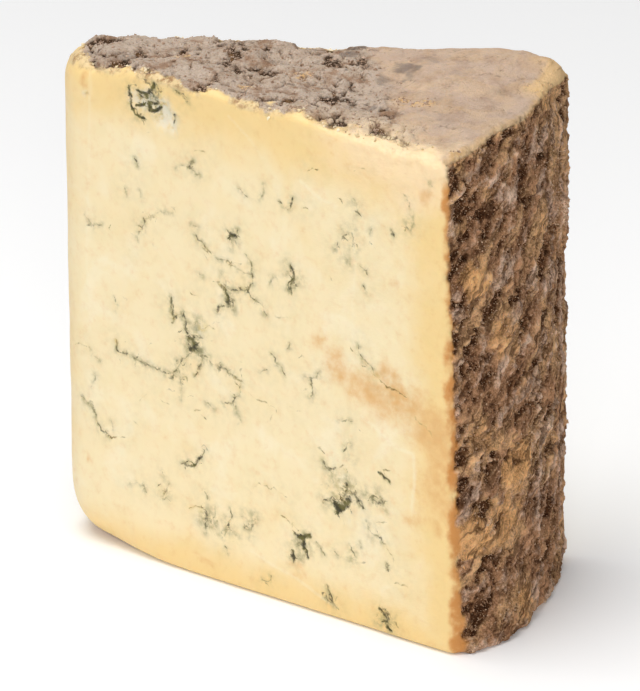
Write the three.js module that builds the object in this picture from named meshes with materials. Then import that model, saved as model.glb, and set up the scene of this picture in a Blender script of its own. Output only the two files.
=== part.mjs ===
// A wedge of blue cheese, cut from a tall drum and standing on its base. Two flat cut faces run from a
// blunt, rounded nose at the middle of the drum out to the curved rind. The drum's own crust is on top.
//
// Units are millimetres, +Z is up. +X runs from the nose to the rind, and the front cut face looks
// towards -Y. The origin is under the middle of the wedge, on the surface that it stands on.
import * as THREE from "three";
import { mergeVertices } from "three/addons/utils/BufferGeometryUtils.js";
import { ImprovedNoise } from "three/addons/math/ImprovedNoise.js";

// Driving dimensions of the wedge
const DRUM_RADIUS = 105;
const HEIGHT = 118;
const LENGTH = 110; // from the tip of the nose to the middle of the rind
const CUT_ANGLE = THREE.MathUtils.degToRad(22); // between the two cut faces
const NOSE_RADIUS = 11;
const RIND_CORNER = 2.5; // rounding where a cut face meets the rind
const NOSE_LEAN = 0.6; // how far the nose leans out at its top

// How far the soft drum stands out at its top and at its sagging foot: by the front cut, in the middle of
// the rind and by the back cut
const SAG = { top: [0, 1.4, 2.7], foot: [3.4, 6, 2.7] };

// Roundings of the upper and lower rims
const TOP_RIM = 2;
const TOP_RIM_AT_NOSE = 7;
const BASE_RIM = 1.6;
const BASE_RIM_AT_NOSE = 13;
const BASE_RIM_INSET = 0.75; // the lower rim's inset, as a share of its height

// Unevenness of the surfaces: height of the relief and width of its bumps
const CRUST_RELIEF = 1.5;
const CRUST_BUMP = 15;
const CRUST_RISE = 4.2; // the crust climbs towards the back corner of the rind
const SHOULDER_DROP = 2.4; // and is rubbed down along the front cut face, next to the rind
const CORNER_WEAR = 4.4; // the rind's far upper corner is worn round
const CRUST_DEPTH = 14; // the crust's relief fades out this far down the sides
const RIND_RELIEF = 1.1;
const RIND_BUMP = 13;
const CUT_RELIEF = 0.4;
const CUT_BUMP = 46;
const FINE_BUMP = { crowding: 2.3, height: 0.45 }; // smaller bumps on each bump, as shares of it

// Where each kind of relief grows, as shares of the way along the wedge (u) and across it (v)
const RIND_GROWS = [0.8, 1];
const CUT_GROWS = [0.5, 1];
const CRUST_GROWS = [0.42, 0.86];
const RISE_ACROSS = [0.5, 0.9];
const SHOULDER_ACROSS = [0, 0.35];
const WEAR_ALONG = [0.88, 1];
const WEAR_ACROSS = [0.6, 1];

// Facets along the wedge, across it and up it, and how far they crowd towards the rims
const FACETS = { along: 28, across: 16, up: 34 };
const CROWDING = 0.78;

// What follows from the driving dimensions
const HALF_ANGLE = CUT_ANGLE / 2;
const RIND_X = LENGTH - NOSE_RADIUS; // the nose's own centre is the plan's zero
const DRUM_AXIS_X = RIND_X - DRUM_RADIUS;
const CUTS_MEET_X = -NOSE_RADIUS / Math.sin(HALF_ANGLE);
const NOSE_EDGE = 0.75 * Math.PI; // bearing at which the nose passes into the cut faces' sides

const { lerp, smoothstep } = THREE.MathUtils;
const noise = new ImprovedNoise();

// Two octaves of smooth noise, about -1 to 1, with bumps of the given width.
function bumps(x, y, z, width) {
  const octave = (scale) => noise.noise(x * scale, y * scale, z * scale);
  return octave(1 / width) + FINE_BUMP.height * octave(FINE_BUMP.crowding / width);
}

// A cut face's rounded corner at the rind: the centre of the rounding, on the front side of the plan.
function cornerCentre() {
  const along = new THREE.Vector2(Math.cos(HALF_ANGLE), -Math.sin(HALF_ANGLE));
  const start = new THREE.Vector2(-Math.sin(HALF_ANGLE), -Math.cos(HALF_ANGLE)).multiplyScalar(
    NOSE_RADIUS - RIND_CORNER,
  );
  const fromAxis = start.clone().sub(new THREE.Vector2(DRUM_AXIS_X, 0));
  const reach = DRUM_RADIUS - RIND_CORNER;
  const half = fromAxis.dot(along);
  const run = -half + Math.sqrt(half * half - fromAxis.lengthSq() + reach * reach);
  return start.addScaledVector(along, run);
}

// The four sides of the plan. Front and back run from the nose to the rind, nose and rind from front to
// back. They meet in the middle of the roundings, so the outline has no kink. inward is the turn from a
// side's tangent to the inside of the plan.
function planSides() {
  const corner = cornerCentre();
  const cutEdge = Math.PI / 2 + HALF_ANGLE; // direction of a cut face's normal
  const rindEdge = Math.atan2(-corner.y, corner.x - DRUM_AXIS_X);
  const cornerMiddle = (2 * Math.PI - cutEdge + (2 * Math.PI - rindEdge)) / 2;

  const cutSide = (side) =>
    new THREE.Path()
      .absarc(0, 0, NOSE_RADIUS, -side * NOSE_EDGE, -side * cutEdge, side < 0)
      .absarc(corner.x, side * corner.y, RIND_CORNER, -side * cutEdge, side * cornerMiddle, side < 0);
  const rind = new THREE.Path()
    .absarc(corner.x, corner.y, RIND_CORNER, cornerMiddle, -rindEdge, false)
    .absarc(DRUM_AXIS_X, 0, DRUM_RADIUS, -rindEdge, rindEdge, false)
    .absarc(corner.x, -corner.y, RIND_CORNER, rindEdge, -cornerMiddle, false);
  const nose = new THREE.Path().absarc(0, 0, NOSE_RADIUS, -NOSE_EDGE, NOSE_EDGE, true);
  return {
    front: { curve: cutSide(1), inward: 1 },
    back: { curve: cutSide(-1), inward: -1 },
    nose: { curve: nose, inward: -1 },
    rind: { curve: rind, inward: 1 },
  };
}

const sides = planSides();

// Roundings of the rims where the outline passes through a point of the plan.
function rimsAt(point) {
  const awayFromNose = smoothstep(point.x, -NOSE_RADIUS, 2 * NOSE_RADIUS);
  return {
    base: lerp(BASE_RIM_AT_NOSE, BASE_RIM, awayFromNose),
    top: lerp(TOP_RIM_AT_NOSE, TOP_RIM, awayFromNose),
  };
}

// How far the outline stands in at a height, because of the rounded rims.
function insetAt(point, z) {
  const rims = rimsAt(point);
  const intoBase = Math.max(0, rims.base - z);
  const intoTop = Math.max(0, z - (HEIGHT - rims.top));
  const arc = (radius, depth) => radius - Math.sqrt(Math.max(0, radius * radius - depth * depth));
  return BASE_RIM_INSET * arc(rims.base, intoBase) + arc(rims.top, intoTop);
}

function sidePoint({ curve, inward }, share, z) {
  const point = curve.getPointAt(share);
  const tangent = curve.getTangentAt(share);
  const inset = inward * insetAt(point, z);
  return new THREE.Vector2(point.x - tangent.y * inset, point.y + tangent.x * inset);
}

// A point of the plan at a height, blended from the four sides: u from nose to rind, v from front to back.
function planPoint(u, v, z) {
  return new THREE.Vector2()
    .addScaledVector(sidePoint(sides.front, u, z), 1 - v)
    .addScaledVector(sidePoint(sides.back, u, z), v)
    .addScaledVector(sidePoint(sides.nose, v, z), 1 - u)
    .addScaledVector(sidePoint(sides.rind, v, z), u)
    .addScaledVector(sidePoint(sides.front, 0, z), -(1 - u) * (1 - v))
    .addScaledVector(sidePoint(sides.front, 1, z), -u * (1 - v))
    .addScaledVector(sidePoint(sides.back, 0, z), -(1 - u) * v)
    .addScaledVector(sidePoint(sides.back, 1, z), -u * v);
}

// A smooth curve through three values, at 0, a half and 1.
function through([first, middle, last], share) {
  const pull = 2 * middle - (first + last) / 2;
  return lerp(lerp(first, pull, share), lerp(pull, last, share), share);
}

// The sag of the drum: the plan grows about the line where the cut planes meet, so that they stay flat.
function spread(point, v, z) {
  const reach = smoothstep(point.x, 0, RIND_X);
  const sag = lerp(through(SAG.foot, v), through(SAG.top, v), z / HEIGHT);
  const growth = (sag / (RIND_X - CUTS_MEET_X)) * reach;
  const lean = (NOSE_LEAN * z * (1 - smoothstep(point.x, -NOSE_RADIUS, NOSE_RADIUS))) / HEIGHT;
  point.x += (point.x - CUTS_MEET_X) * growth - lean;
  point.y += point.y * growth;
}

// Relief of the rind and the cut faces, away from the drum's axis and square to the cuts.
function roughenSides(point, u, v, z) {
  const aboveBase = smoothstep(z, 0, BASE_RIM_AT_NOSE);
  const onRind = smoothstep(u, ...RIND_GROWS) * aboveBase;
  const bearing = Math.atan2(point.y, point.x - DRUM_AXIS_X);
  const rindPush = RIND_RELIEF * onRind * bumps(bearing * DRUM_RADIUS, 0, z, RIND_BUMP);
  const offMiddle = 2 * v - 1;
  const onCut = smoothstep(Math.abs(offMiddle), ...CUT_GROWS) * Math.sign(offMiddle) * aboveBase;
  const cutPush = CUT_RELIEF * onCut * bumps(point.x, point.y, z, CUT_BUMP);
  point.x += Math.cos(bearing) * rindPush;
  point.y += Math.sin(bearing) * rindPush + cutPush;
}

// Relief of the crust on top, which fades out a little way down the sides.
function crustHeight(point, u, v, z) {
  const nearTop = smoothstep(z, HEIGHT - CRUST_DEPTH, HEIGHT);
  const nearRind = smoothstep(point.x / RIND_X, ...CRUST_GROWS);
  const rise = CRUST_RISE * nearRind * smoothstep(v, ...RISE_ACROSS);
  const drop = SHOULDER_DROP * nearRind * (1 - smoothstep(v, ...SHOULDER_ACROSS));
  const wear = CORNER_WEAR * smoothstep(u, ...WEAR_ALONG) * smoothstep(v, ...WEAR_ACROSS);
  return nearTop * (CRUST_RELIEF * bumps(point.x, point.y, 0, CRUST_BUMP) + rise - drop - wear);
}

// Facets crowd towards both ends, where the rims and corners are.
function crowd(share) {
  return share - (CROWDING * Math.sin(2 * Math.PI * share)) / (2 * Math.PI);
}

// A box of facets, bent into the wedge.
function wedgeGeometry() {
  const box = new THREE.BoxGeometry(1, 1, 1, FACETS.along, FACETS.across, FACETS.up);
  box.deleteAttribute("normal");
  box.deleteAttribute("uv");
  const geometry = mergeVertices(box);
  const position = geometry.getAttribute("position");
  for (let i = 0; i < position.count; i++) {
    const [u, v, w] = [position.getX(i), position.getY(i), position.getZ(i)].map((c) => crowd(c + 0.5));
    const z = w * HEIGHT;
    const point = planPoint(u, v, z);
    spread(point, v, z);
    roughenSides(point, u, v, z);
    position.setXYZ(i, point.x, point.y, z + crustHeight(point, u, v, z));
  }
  geometry.computeBoundingBox();
  const middle = geometry.boundingBox.getCenter(new THREE.Vector3());
  geometry.translate(-middle.x, -middle.y, -geometry.boundingBox.min.z);
  geometry.computeVertexNormals();
  return geometry;
}

const paste = new THREE.MeshStandardMaterial({ color: 0xf4dfb2, roughness: 0.55, metalness: 0 });
const cheeseWedge = new THREE.Mesh(wedgeGeometry(), paste);
cheeseWedge.name = "cheese_wedge";

const wedge = new THREE.Group();
wedge.add(cheeseWedge);

export default wedge;
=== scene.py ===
"""A wedge of blue cheese: pale paste with blue veins, a rough rind and a crust on top."""
import itertools
import math

import bmesh
import bpy
import numpy as np
from bpy.props import FloatProperty, FloatVectorProperty, IntProperty, PointerProperty
from bpy.types import Operator, Panel, PropertyGroup
from mathutils import Euler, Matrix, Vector, noise
from mathutils.bvhtree import BVHTree
from mathutils.kdtree import KDTree


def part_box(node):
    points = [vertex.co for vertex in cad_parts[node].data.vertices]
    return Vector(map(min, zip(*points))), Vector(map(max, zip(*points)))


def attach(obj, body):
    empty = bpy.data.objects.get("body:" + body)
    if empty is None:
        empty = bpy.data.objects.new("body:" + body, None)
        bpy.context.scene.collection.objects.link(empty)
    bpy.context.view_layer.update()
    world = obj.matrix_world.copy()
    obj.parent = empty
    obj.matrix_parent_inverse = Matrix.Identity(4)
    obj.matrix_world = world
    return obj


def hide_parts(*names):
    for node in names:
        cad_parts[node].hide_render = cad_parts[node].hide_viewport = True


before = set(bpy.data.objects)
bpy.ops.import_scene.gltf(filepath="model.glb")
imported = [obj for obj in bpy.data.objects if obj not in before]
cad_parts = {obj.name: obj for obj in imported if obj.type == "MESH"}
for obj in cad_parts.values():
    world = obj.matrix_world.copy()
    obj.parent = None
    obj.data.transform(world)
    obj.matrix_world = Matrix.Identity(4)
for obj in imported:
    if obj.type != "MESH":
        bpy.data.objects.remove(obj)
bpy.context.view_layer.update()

bl_info = {
    "name": "Blue Cheese Wedge",
    "version": (1, 0, 0),
    "blender": (4, 5, 0),
    "location": "View3D > Sidebar > Cheese",
    "description": "Finishes a wedge of blue cheese with its paste, veins, rind, crust and crumbs",
    "category": "Add Mesh",
}

# Plan of the wedge in millimetres, as the CAD solid has it; the nose's own centre is the plan's zero
MM = 0.001
NODE = "cheese_wedge"
LOW, HIGH = (np.array(corner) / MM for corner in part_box(NODE))
NOSE_RADIUS = 11.0
HALF_ANGLE = math.radians(11.0)
DRUM_RADIUS = 105.0
DRUM_HEIGHT = 118.0
SAG_TOP = (0.0, 1.4, 2.7)
SAG_FOOT = (3.4, 6.0, 2.7)
RIND_TURN = math.radians(16.4)  # from the middle of the rind to a cut face
RIND_X = 99.0
NOSE_LEAN = 0.56
NOSE_X = LOW[0] + NOSE_RADIUS + NOSE_LEAN
CUTS_MEET_X = -NOSE_RADIUS / math.sin(HALF_ANGLE)
NOSE_ARC = NOSE_RADIUS * (math.pi / 2 - HALF_ANGLE)
FACE_LENGTH = 106.0

# The photograph's frame in pixels, and the sensor that the camera's lens is given for
PHOTO_WIDTH = 640
PHOTO_HEIGHT = 691
SENSOR = 36.0
# The point that the camera looks at, from the nose's centre
AIM = (74.73, -50.0, 77.61)

# Veins that the front face shows: a name, how dark they are, and their course in the photograph's pixels
DARK_VEINS = (
    ("pocket left wall", 0.86, [(132, 85), (128, 88), (129, 104), (137, 118), (144, 119)]),
    ("pocket upper mould", 0.9, [(138, 91), (142, 96), (154, 91), (153, 84)]),
    ("pocket right wall", 0.84, [(156, 86), (157, 98), (155, 106)]),
    ("pocket lower mould", 0.9, [(137, 104), (142, 107)]),
    ("pocket lower bend", 0.88, [(146, 102), (150, 110), (156, 112), (154, 104)]),
    ("pocket tail", 0.85, [(174, 116), (171, 125)]),
    ("crack under the crust", 0.8, [(175, 91), (183, 95), (187, 102)]),
    ("upper dash", 0.75, [(134, 159), (137, 167)]),
    ("upper fork", 0.8, [(192, 161), (187, 167), (199, 175)]),
    ("fork's arm", 0.62, [(187, 167), (175, 169)]),
    ("upper pair", 0.72, [(239, 189), (246, 196)]),
    ("upper hook", 0.78, [(279, 202), (288, 210), (292, 199)]),
    ("soft upper streak", 0.62, [(263, 184), (259, 199)]),
    ("left blots", 0.74, [(124, 189), (126, 195)]),
    ("left blot", 0.74, [(139, 191), (140, 196)]),
    ("nose crack", 0.72, [(84, 215), (92, 226), (101, 225)]),
    ("left star", 0.85, [(143, 219), (142, 230), (137, 226)]),
    ("star's arc", 0.62, [(143, 219), (160, 211), (171, 213)]),
    ("star's drop", 0.7, [(141, 231), (137, 241)]),
    ("middle comma", 0.72, [(190, 224), (196, 227)]),
    ("middle chain", 0.8, [(195, 236), (197, 241), (209, 252), (217, 260), (234, 267), (252, 276)]),
    ("loop", 0.84, [(252, 276), (252, 284), (244, 291), (232, 290), (224, 286)]),
    ("loop's handle", 0.82, [(246, 257), (251, 269), (252, 276)]),
    ("middle cross", 0.88, [(227, 231), (238, 237)]),
    ("middle cross bar", 0.88, [(228, 238), (237, 230)]),
    ("middle tangle", 0.9, [(220, 285), (225, 294), (228, 305), (222, 307), (217, 312)]),
    ("tangle's side", 0.78, [(225, 294), (233, 300), (230, 306)]),
    ("two dots", 0.75, [(198, 274), (202, 277)]),
    ("right chain", 0.8, [(248, 293), (256, 301), (263, 307), (266, 315)]),
    ("centre blot", 0.92, [(290, 266), (293, 277), (288, 290), (295, 285)]),
    ("centre blot's arm", 0.66, [(269, 284), (276, 278)]),
    ("left stroke", 0.62, [(114, 297), (115, 311)]),
    ("knot's stem", 0.9, [
        (171, 298), (171, 313), (173, 319), (183, 312), (186, 323), (184, 330), (190, 338),
    ]),
    ("knot", 0.86, [(186, 337), (196, 336), (189, 342), (197, 345), (188, 348), (194, 350)]),
    ("knot's left leg", 0.88, [(192, 350), (181, 359), (175, 371), (172, 378)]),
    ("knot's right leg", 0.84, [(196, 351), (202, 359), (198, 369), (194, 376)]),
    ("knot's long arm", 0.86, [(201, 355), (213, 365), (228, 374), (240, 381)]),
    ("arm's fork", 0.8, [(240, 381), (234, 398), (223, 405)]),
    ("arm's end", 0.72, [(234, 403), (236, 413), (240, 421)]),
    ("left long crack", 0.8, [
        (116, 341), (118, 352), (125, 354), (137, 361), (150, 367), (167, 374), (175, 377),
    ]),
    ("thin drop", 0.6, [(180, 377), (181, 400)]),
    ("lower commas", 0.7, [(205, 403), (213, 409)]),
    ("nose fork", 0.66, [(87, 346), (100, 361)]),
    ("nose drop", 0.62, [(95, 375), (92, 386)]),
    ("nose long crack", 0.86, [(81, 397), (91, 405), (96, 418), (101, 430), (111, 437)]),
    ("crack's hook", 0.64, [(112, 421), (113, 430), (106, 434)]),
    ("lower zigzag", 0.9, [(182, 464), (194, 466), (198, 459), (203, 453)]),
    ("lower left dash", 0.74, [(131, 484), (144, 486), (146, 491)]),
    ("lower left blot", 0.74, [(162, 470), (164, 476)]),
    ("lower left hook", 0.66, [(169, 484), (165, 493), (160, 497), (169, 500)]),
    ("lower tick", 0.76, [(205, 493), (207, 498)]),
    ("lower column", 0.78, [(205, 510), (208, 520), (206, 532)]),
    ("column's side", 0.68, [(213, 520), (215, 507)]),
    ("lower river", 0.82, [(230, 509), (230, 520), (225, 530), (223, 537)]),
    ("river's end", 0.72, [(226, 547), (228, 553)]),
    ("lower ring", 0.74, [(244, 528), (251, 530), (255, 520), (242, 516)]),
    ("foot blot", 0.9, [(296, 536), (305, 537), (310, 534)]),
    ("foot blot's stem", 0.9, [(303, 541), (303, 547), (308, 558)]),
    ("foot blot's left", 0.9, [(293, 552), (292, 558)]),
    ("foot dash", 0.74, [(317, 543), (324, 554)]),
    ("foot dot", 0.78, [(335, 552), (339, 556)]),
    ("foot tick", 0.72, [(263, 580), (268, 582), (271, 577)]),
    ("foot column", 0.8, [(327, 586), (331, 596), (335, 607)]),
    ("centre dash", 0.8, [(271, 354), (276, 363), (284, 374)]),
    ("centre tick", 0.76, [(261, 372), (266, 370)]),
    ("centre dot", 0.78, [(289, 344), (288, 348)]),
    ("centre stroke", 0.85, [(311, 380), (313, 390), (311, 397)]),
    ("stroke's arm", 0.68, [(320, 371), (316, 378), (305, 377)]),
    ("right haze", 0.68, [(354, 200), (357, 211)]),
    ("right blot", 0.8, [(337, 244), (335, 249)]),
    ("right column", 0.66, [(348, 227), (351, 248)]),
    ("right dots", 0.7, [(371, 230), (370, 234)]),
    ("right spot", 0.84, [(391, 230), (393, 235)]),
    ("right drop", 0.68, [(404, 195), (409, 207)]),
    ("right drop's end", 0.7, [(413, 217), (411, 230)]),
    ("right pair", 0.74, [(361, 267), (367, 274)]),
    ("right pair's end", 0.72, [(363, 286), (367, 292)]),
    ("streak's head", 0.86, [(358, 346), (362, 357), (368, 364), (376, 377)]),
    ("lower spot", 0.72, [(340, 420), (352, 421)]),
    ("lower slant", 0.78, [(350, 443), (344, 451)]),
    ("lower haze", 0.72, [(323, 462), (331, 472)]),
    ("lower right blot", 0.84, [(382, 474), (386, 478), (390, 482)]),
    ("great blot", 0.92, [(348, 487), (344, 496), (341, 506), (335, 512)]),
    ("great blot's left", 0.84, [(325, 500), (332, 504), (338, 502)]),
    ("great blot's middle", 0.9, [(338, 508), (346, 502), (342, 499)]),
    ("great blot's right", 0.82, [(355, 495), (359, 499), (363, 506)]),
    ("great blot's far side", 0.85, [(371, 497), (380, 502), (384, 504)]),
    ("right river", 0.76, [(367, 521), (375, 535), (386, 544)]),
    ("foot hooks", 0.74, [(350, 545), (354, 553), (357, 562)]),
    ("foot hook", 0.72, [(360, 543), (361, 549)]),
    ("foot drop", 0.78, [(387, 563), (388, 570)]),
    ("edge blot", 0.9, [(380, 608), (386, 617), (389, 630)]),
    ("speck by the rind", 0.9, [(430, 184), (431, 185)]),
    ("great blot's heart", 1.0, [
        (336, 504), (341, 503), (346, 506), (341, 509), (337, 507), (342, 506), (339, 511),
    ]),
    ("great blot's upper arm", 0.92, [(344, 484), (348, 489), (352, 494), (356, 492)]),
    ("great blot's outer arm", 0.86, [(357, 502), (364, 508)]),
    ("far side's bend", 0.84, [(369, 499), (375, 496), (381, 499), (384, 505)]),
    ("upper haze's bend", 0.8, [(323, 461), (324, 467), (331, 469), (335, 468)]),
    ("foot blot's knob", 1.0, [(302, 546), (304, 548), (303, 545)]),
    ("foot blot's left mass", 0.95, [(292, 551), (294, 556), (291, 557), (293, 561)]),
    ("edge blot's top", 0.84, [(379, 609), (387, 611), (390, 616)]),
    ("edge blot's foot", 0.94, [(387, 626), (391, 631)]),
    ("foot streak", 0.9, [(326, 598), (331, 603), (336, 607)]),
)
OLIVE_VEINS = (
    ("upper olive", 0.72, [(193, 151), (204, 152)]),
    ("upper right olive", 0.7, [(308, 171), (318, 170)]),
    ("far right olive", 0.58, [(354, 171), (365, 169)]),
    ("olive speck", 0.7, [(131, 176), (133, 178)]),
    ("olive spot", 0.78, [(303, 208), (307, 209)]),
    ("olive drop", 0.68, [(129, 250), (131, 252)]),
    ("olive commas", 0.72, [(190, 293), (196, 296)]),
    ("olive by the tangle", 0.66, [(216, 283), (220, 287)]),
    ("olive over the knot", 0.72, [(202, 329), (209, 326), (213, 329)]),
    ("olive at the nose", 0.74, [(73, 345), (80, 344), (87, 347)]),
    ("long crack's start", 0.7, [(116, 341), (124, 342)]),
    ("long arm's tail", 0.62, [(248, 392), (258, 400), (269, 407), (276, 411)]),
    ("olive pair", 0.66, [(161, 401), (167, 404)]),
    ("olive slant", 0.66, [(146, 394), (140, 400)]),
    ("olive dots", 0.68, [(201, 410), (194, 411)]),
    ("crack's tail", 0.7, [(114, 437), (125, 437)]),
    ("olive eye", 0.66, [(134, 421), (137, 424)]),
    ("brown dash", 0.85, [(190, 508), (195, 506), (200, 507)]),
    ("lower olive arc", 0.72, [(253, 488), (259, 484), (274, 488), (286, 497)]),
    ("olive dot", 0.66, [(234, 541), (236, 540)]),
    ("olive tick", 0.64, [(236, 361), (241, 362)]),
    ("centre olive", 0.64, [(273, 314), (280, 318), (293, 319)]),
    ("olive hook", 0.62, [(290, 407), (299, 411)]),
    ("olive stroke", 0.62, [(267, 422), (272, 415)]),
    ("right olive", 0.66, [(330, 277), (331, 279)]),
    ("blot's root", 0.72, [(282, 516), (289, 522), (296, 528)]),
    ("right foot olive", 0.7, [(388, 549), (394, 560)]),
    ("right foot streak", 0.64, [(396, 583), (407, 586)]),
    ("brown tick", 0.74, [(379, 522), (386, 522)]),
    ("streak's thread", 0.85, [(374, 376), (384, 384), (396, 391), (405, 397)]),
    ("streak's lower thread", 0.66, [(413, 413), (421, 424), (432, 436)]),
)

# Thick strokes of black mould: a name, how dark they are, a radius in mm, and their course in pixels
BLOTS = (
    ("pocket's left wall", 0.95, 0.4, [(128, 86), (130, 100), (131, 109), (135, 115), (144, 119)]),
    ("pocket's upper mould", 1.0, 0.52, [(136, 90), (144, 95), (151, 90), (153, 84)]),
    ("pocket's right wall", 0.7, 0.45, [(155, 92), (156, 102)]),
    ("pocket's lower mould", 1.0, 0.42, [(135, 106), (141, 106)]),
    ("pocket's lower bend", 1.0, 0.52, [(146, 103), (149, 111), (157, 109)]),
    ("bend's top", 0.9, 0.5, [(149, 104), (155, 105)]),
    ("pocket's tail", 0.7, 0.5, [(173, 115), (171, 125)]),
    ("crack under the crust", 0.7, 0.45, [(176, 92), (182, 95), (187, 102)]),
    ("great blot's heart", 1.0, 1.0, [(335, 504), (341, 509), (346, 505), (349, 500)]),
    ("heart's foot", 0.95, 0.7, [(338, 508), (337, 513)]),
    ("great blot's head", 0.75, 0.5, [(343, 486), (348, 491), (343, 496), (350, 497)]),
    ("great blot's left lobe", 0.55, 0.8, [(323, 504), (332, 500)]),
    ("great blot's right arm", 0.8, 0.45, [(355, 494), (358, 500), (363, 508)]),
    ("far side", 0.6, 0.9, [(371, 499), (379, 503), (384, 500)]),
    ("far side's top", 0.55, 0.6, [(373, 495), (380, 496)]),
    ("upper haze", 0.5, 0.7, [(323, 462), (325, 469), (333, 471)]),
    ("lower right dash", 0.9, 0.5, [(379, 472), (384, 477), (390, 481)]),
    ("foot blot's head", 0.95, 0.7, [(295, 534), (303, 539), (310, 536)]),
    ("foot blot's heart", 1.0, 0.8, [(303, 541), (304, 548)]),
    ("foot blot's stem", 0.8, 0.6, [(306, 550), (308, 558)]),
    ("foot blot's left mass", 0.9, 0.8, [(293, 551), (294, 559)]),
    ("edge blot's top", 0.7, 0.7, [(380, 609), (387, 614), (389, 618)]),
    ("edge blot", 0.6, 1.1, [(386, 616), (388, 624)]),
    ("edge blot's foot", 0.95, 0.6, [(387, 626), (390, 630)]),
    ("foot column", 0.6, 0.6, [(328, 585), (329, 595)]),
    ("foot column's end", 0.75, 0.35, [(329, 596), (336, 607)]),
    ("knot", 0.8, 0.9, [(188, 338), (195, 343), (190, 350)]),
    ("knot's stem", 0.75, 0.5, [(171, 299), (172, 314), (176, 318)]),
    ("stem's bend", 0.7, 0.5, [(183, 313), (186, 325)]),
    ("centre blot", 0.85, 0.6, [(290, 267), (293, 277), (290, 288)]),
    ("middle cross", 0.85, 0.7, [(230, 234), (235, 237)]),
    ("middle tangle", 0.75, 0.8, [(221, 287), (226, 296), (227, 304)]),
    ("tangle's foot", 0.7, 0.5, [(222, 306), (217, 312)]),
    ("lower zigzag", 0.8, 0.5, [(183, 464), (194, 466), (200, 457)]),
    ("lower column", 0.6, 0.7, [(206, 512), (208, 522), (206, 530)]),
    ("lower ring", 0.5, 0.7, [(245, 527), (251, 525)]),
    ("right blot", 0.6, 0.6, [(337, 244), (335, 249)]),
    ("right spot", 0.75, 0.6, [(391, 231), (393, 235)]),
    ("centre stroke", 0.75, 0.4, [(311, 381), (313, 390), (311, 396)]),
)

# Clouds of blue-grey mould, white mould and brown stains: a name, a centre in pixels, a radius in mm and
# a strength
MOULD_CLOUDS = (
    ("round the pocket", (146, 99), 4.4, 0.95),
    ("round the middle cross", (233, 240), 3.0, 0.5),
    ("inside the loop", (240, 281), 3.4, 0.42),
    ("round the tangle", (229, 300), 3.4, 0.62),
    ("round the centre blot", (291, 274), 3.2, 0.55),
    ("over the knot", (184, 321), 3.2, 0.55),
    ("round the knot", (193, 345), 3.6, 0.85),
    ("left leg", (178, 366), 3.0, 0.55),
    ("right of the centre", (352, 240), 4.2, 0.5),
    ("upper right", (355, 206), 3.0, 0.42),
    ("far right", (411, 222), 2.8, 0.4),
    ("lower column", (209, 519), 3.6, 0.6),
    ("lower river", (229, 528), 3.2, 0.45),
    ("lower ring", (249, 524), 3.0, 0.5),
    ("foot blot", (304, 545), 4.2, 0.7),
    ("great blot", (346, 500), 5.6, 0.62),
    ("great blot's far side", (377, 501), 3.6, 0.5),
    ("above the great blot", (347, 470), 4.0, 0.45),
    ("right river", (374, 531), 3.6, 0.4),
    ("foot hooks", (352, 553), 3.6, 0.45),
    ("edge blot", (386, 617), 3.2, 0.7),
    ("lower left", (160, 486), 3.4, 0.35),
)
WHITE_MOULD = (
    ("pocket's floor", (145, 104), 3.4, 0.75),
    ("pocket's skirt", (163, 114), 3.6, 0.9),
    ("skirt's end", (173, 123), 2.6, 0.7),
    ("nose dot", (84, 93), 0.9, 0.8),
    ("under the great blot", (356, 512), 5.0, 0.35),
    ("by the knot", (200, 331), 2.6, 0.45),
)
STAINS = (
    ("by the centre", (318, 340), 2.4, 0.7),
    ("brown patch", (344, 378), 2.4, 0.75),
    ("brown patch's end", (354, 387), 2.8, 0.65),
    ("brown patch's upper part", (336, 362), 4.0, 0.6),
    ("over the fold", (368, 386), 5.0, 0.72),
    ("over the fold's middle", (385, 402), 5.5, 0.54),
    ("over the fold's end", (405, 418), 6.0, 0.58),
    ("streak's head", (383, 371), 2.6, 0.75),
    ("streak's joint", (393, 386), 2.8, 0.8),
    ("streak's middle", (401, 395), 2.4, 0.9),
    ("streak's bend", (411, 405), 4.0, 0.6),
    ("streak's fork", (424, 424), 5.0, 0.66),
    ("streak's end", (434, 440), 5.0, 0.75),
    ("streak's tail", (442, 456), 4.0, 0.7),
    ("along the rind", (444, 478), 4.0, 0.65),
    ("speckles by the rind", (436, 496), 5.0, 0.55),
    ("speckles' foot", (444, 512), 4.0, 0.6),
    ("rust band's head", (408, 520), 1.4, 0.5),
    ("rust band", (416, 521), 1.5, 0.6),
    ("rust band's middle", (426, 522), 1.5, 0.6),
    ("rust band's end", (437, 523), 1.9, 0.65),
    ("orange spot", (426, 198), 1.8, 0.7),
    ("faint line's head", (394, 285), 1.4, 0.5),
    ("faint line", (408, 298), 1.2, 0.35),
    ("foot of the blot", (300, 570), 2.2, 0.35),
    ("yellow streak's head", (197, 553), 0.9, 0.55),
    ("yellow streak", (204, 559), 1.0, 0.7),
    ("yellow streak's end", (212, 564), 0.8, 0.5),
    ("nose rust", (83, 75), 1.3, 0.75),
    ("nose rust's foot", (84, 86), 1.2, 0.7),
    ("nose speck", (90, 460), 0.8, 0.6),
)

# Pale ridges that a cutting wire and a wrapping left on the front face: a name, a strength and a course
CREASES = (
    ("upper curve", 0.9, [(300, 181), (315, 195), (336, 206)]),
    ("upright", 0.6, [(353, 233), (354, 290), (353, 345)]),
    ("lower slant", 1.0, [(363, 416), (396, 446), (413, 454)]),
    ("lower upright", 0.9, [(414, 455), (415, 487), (412, 510)]),
    ("left slant", 0.5, [(145, 235), (165, 262), (180, 290)]),
    ("second left slant", 0.4, [(156, 228), (176, 258), (190, 282)]),
    ("top slant", 0.5, [(228, 116), (247, 136), (262, 158)]),
    ("foot fold", 0.7, [(251, 551), (290, 574), (336, 607)]),
    ("nose line", 0.6, [(88, 60), (88, 180), (90, 330)]),
)

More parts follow.
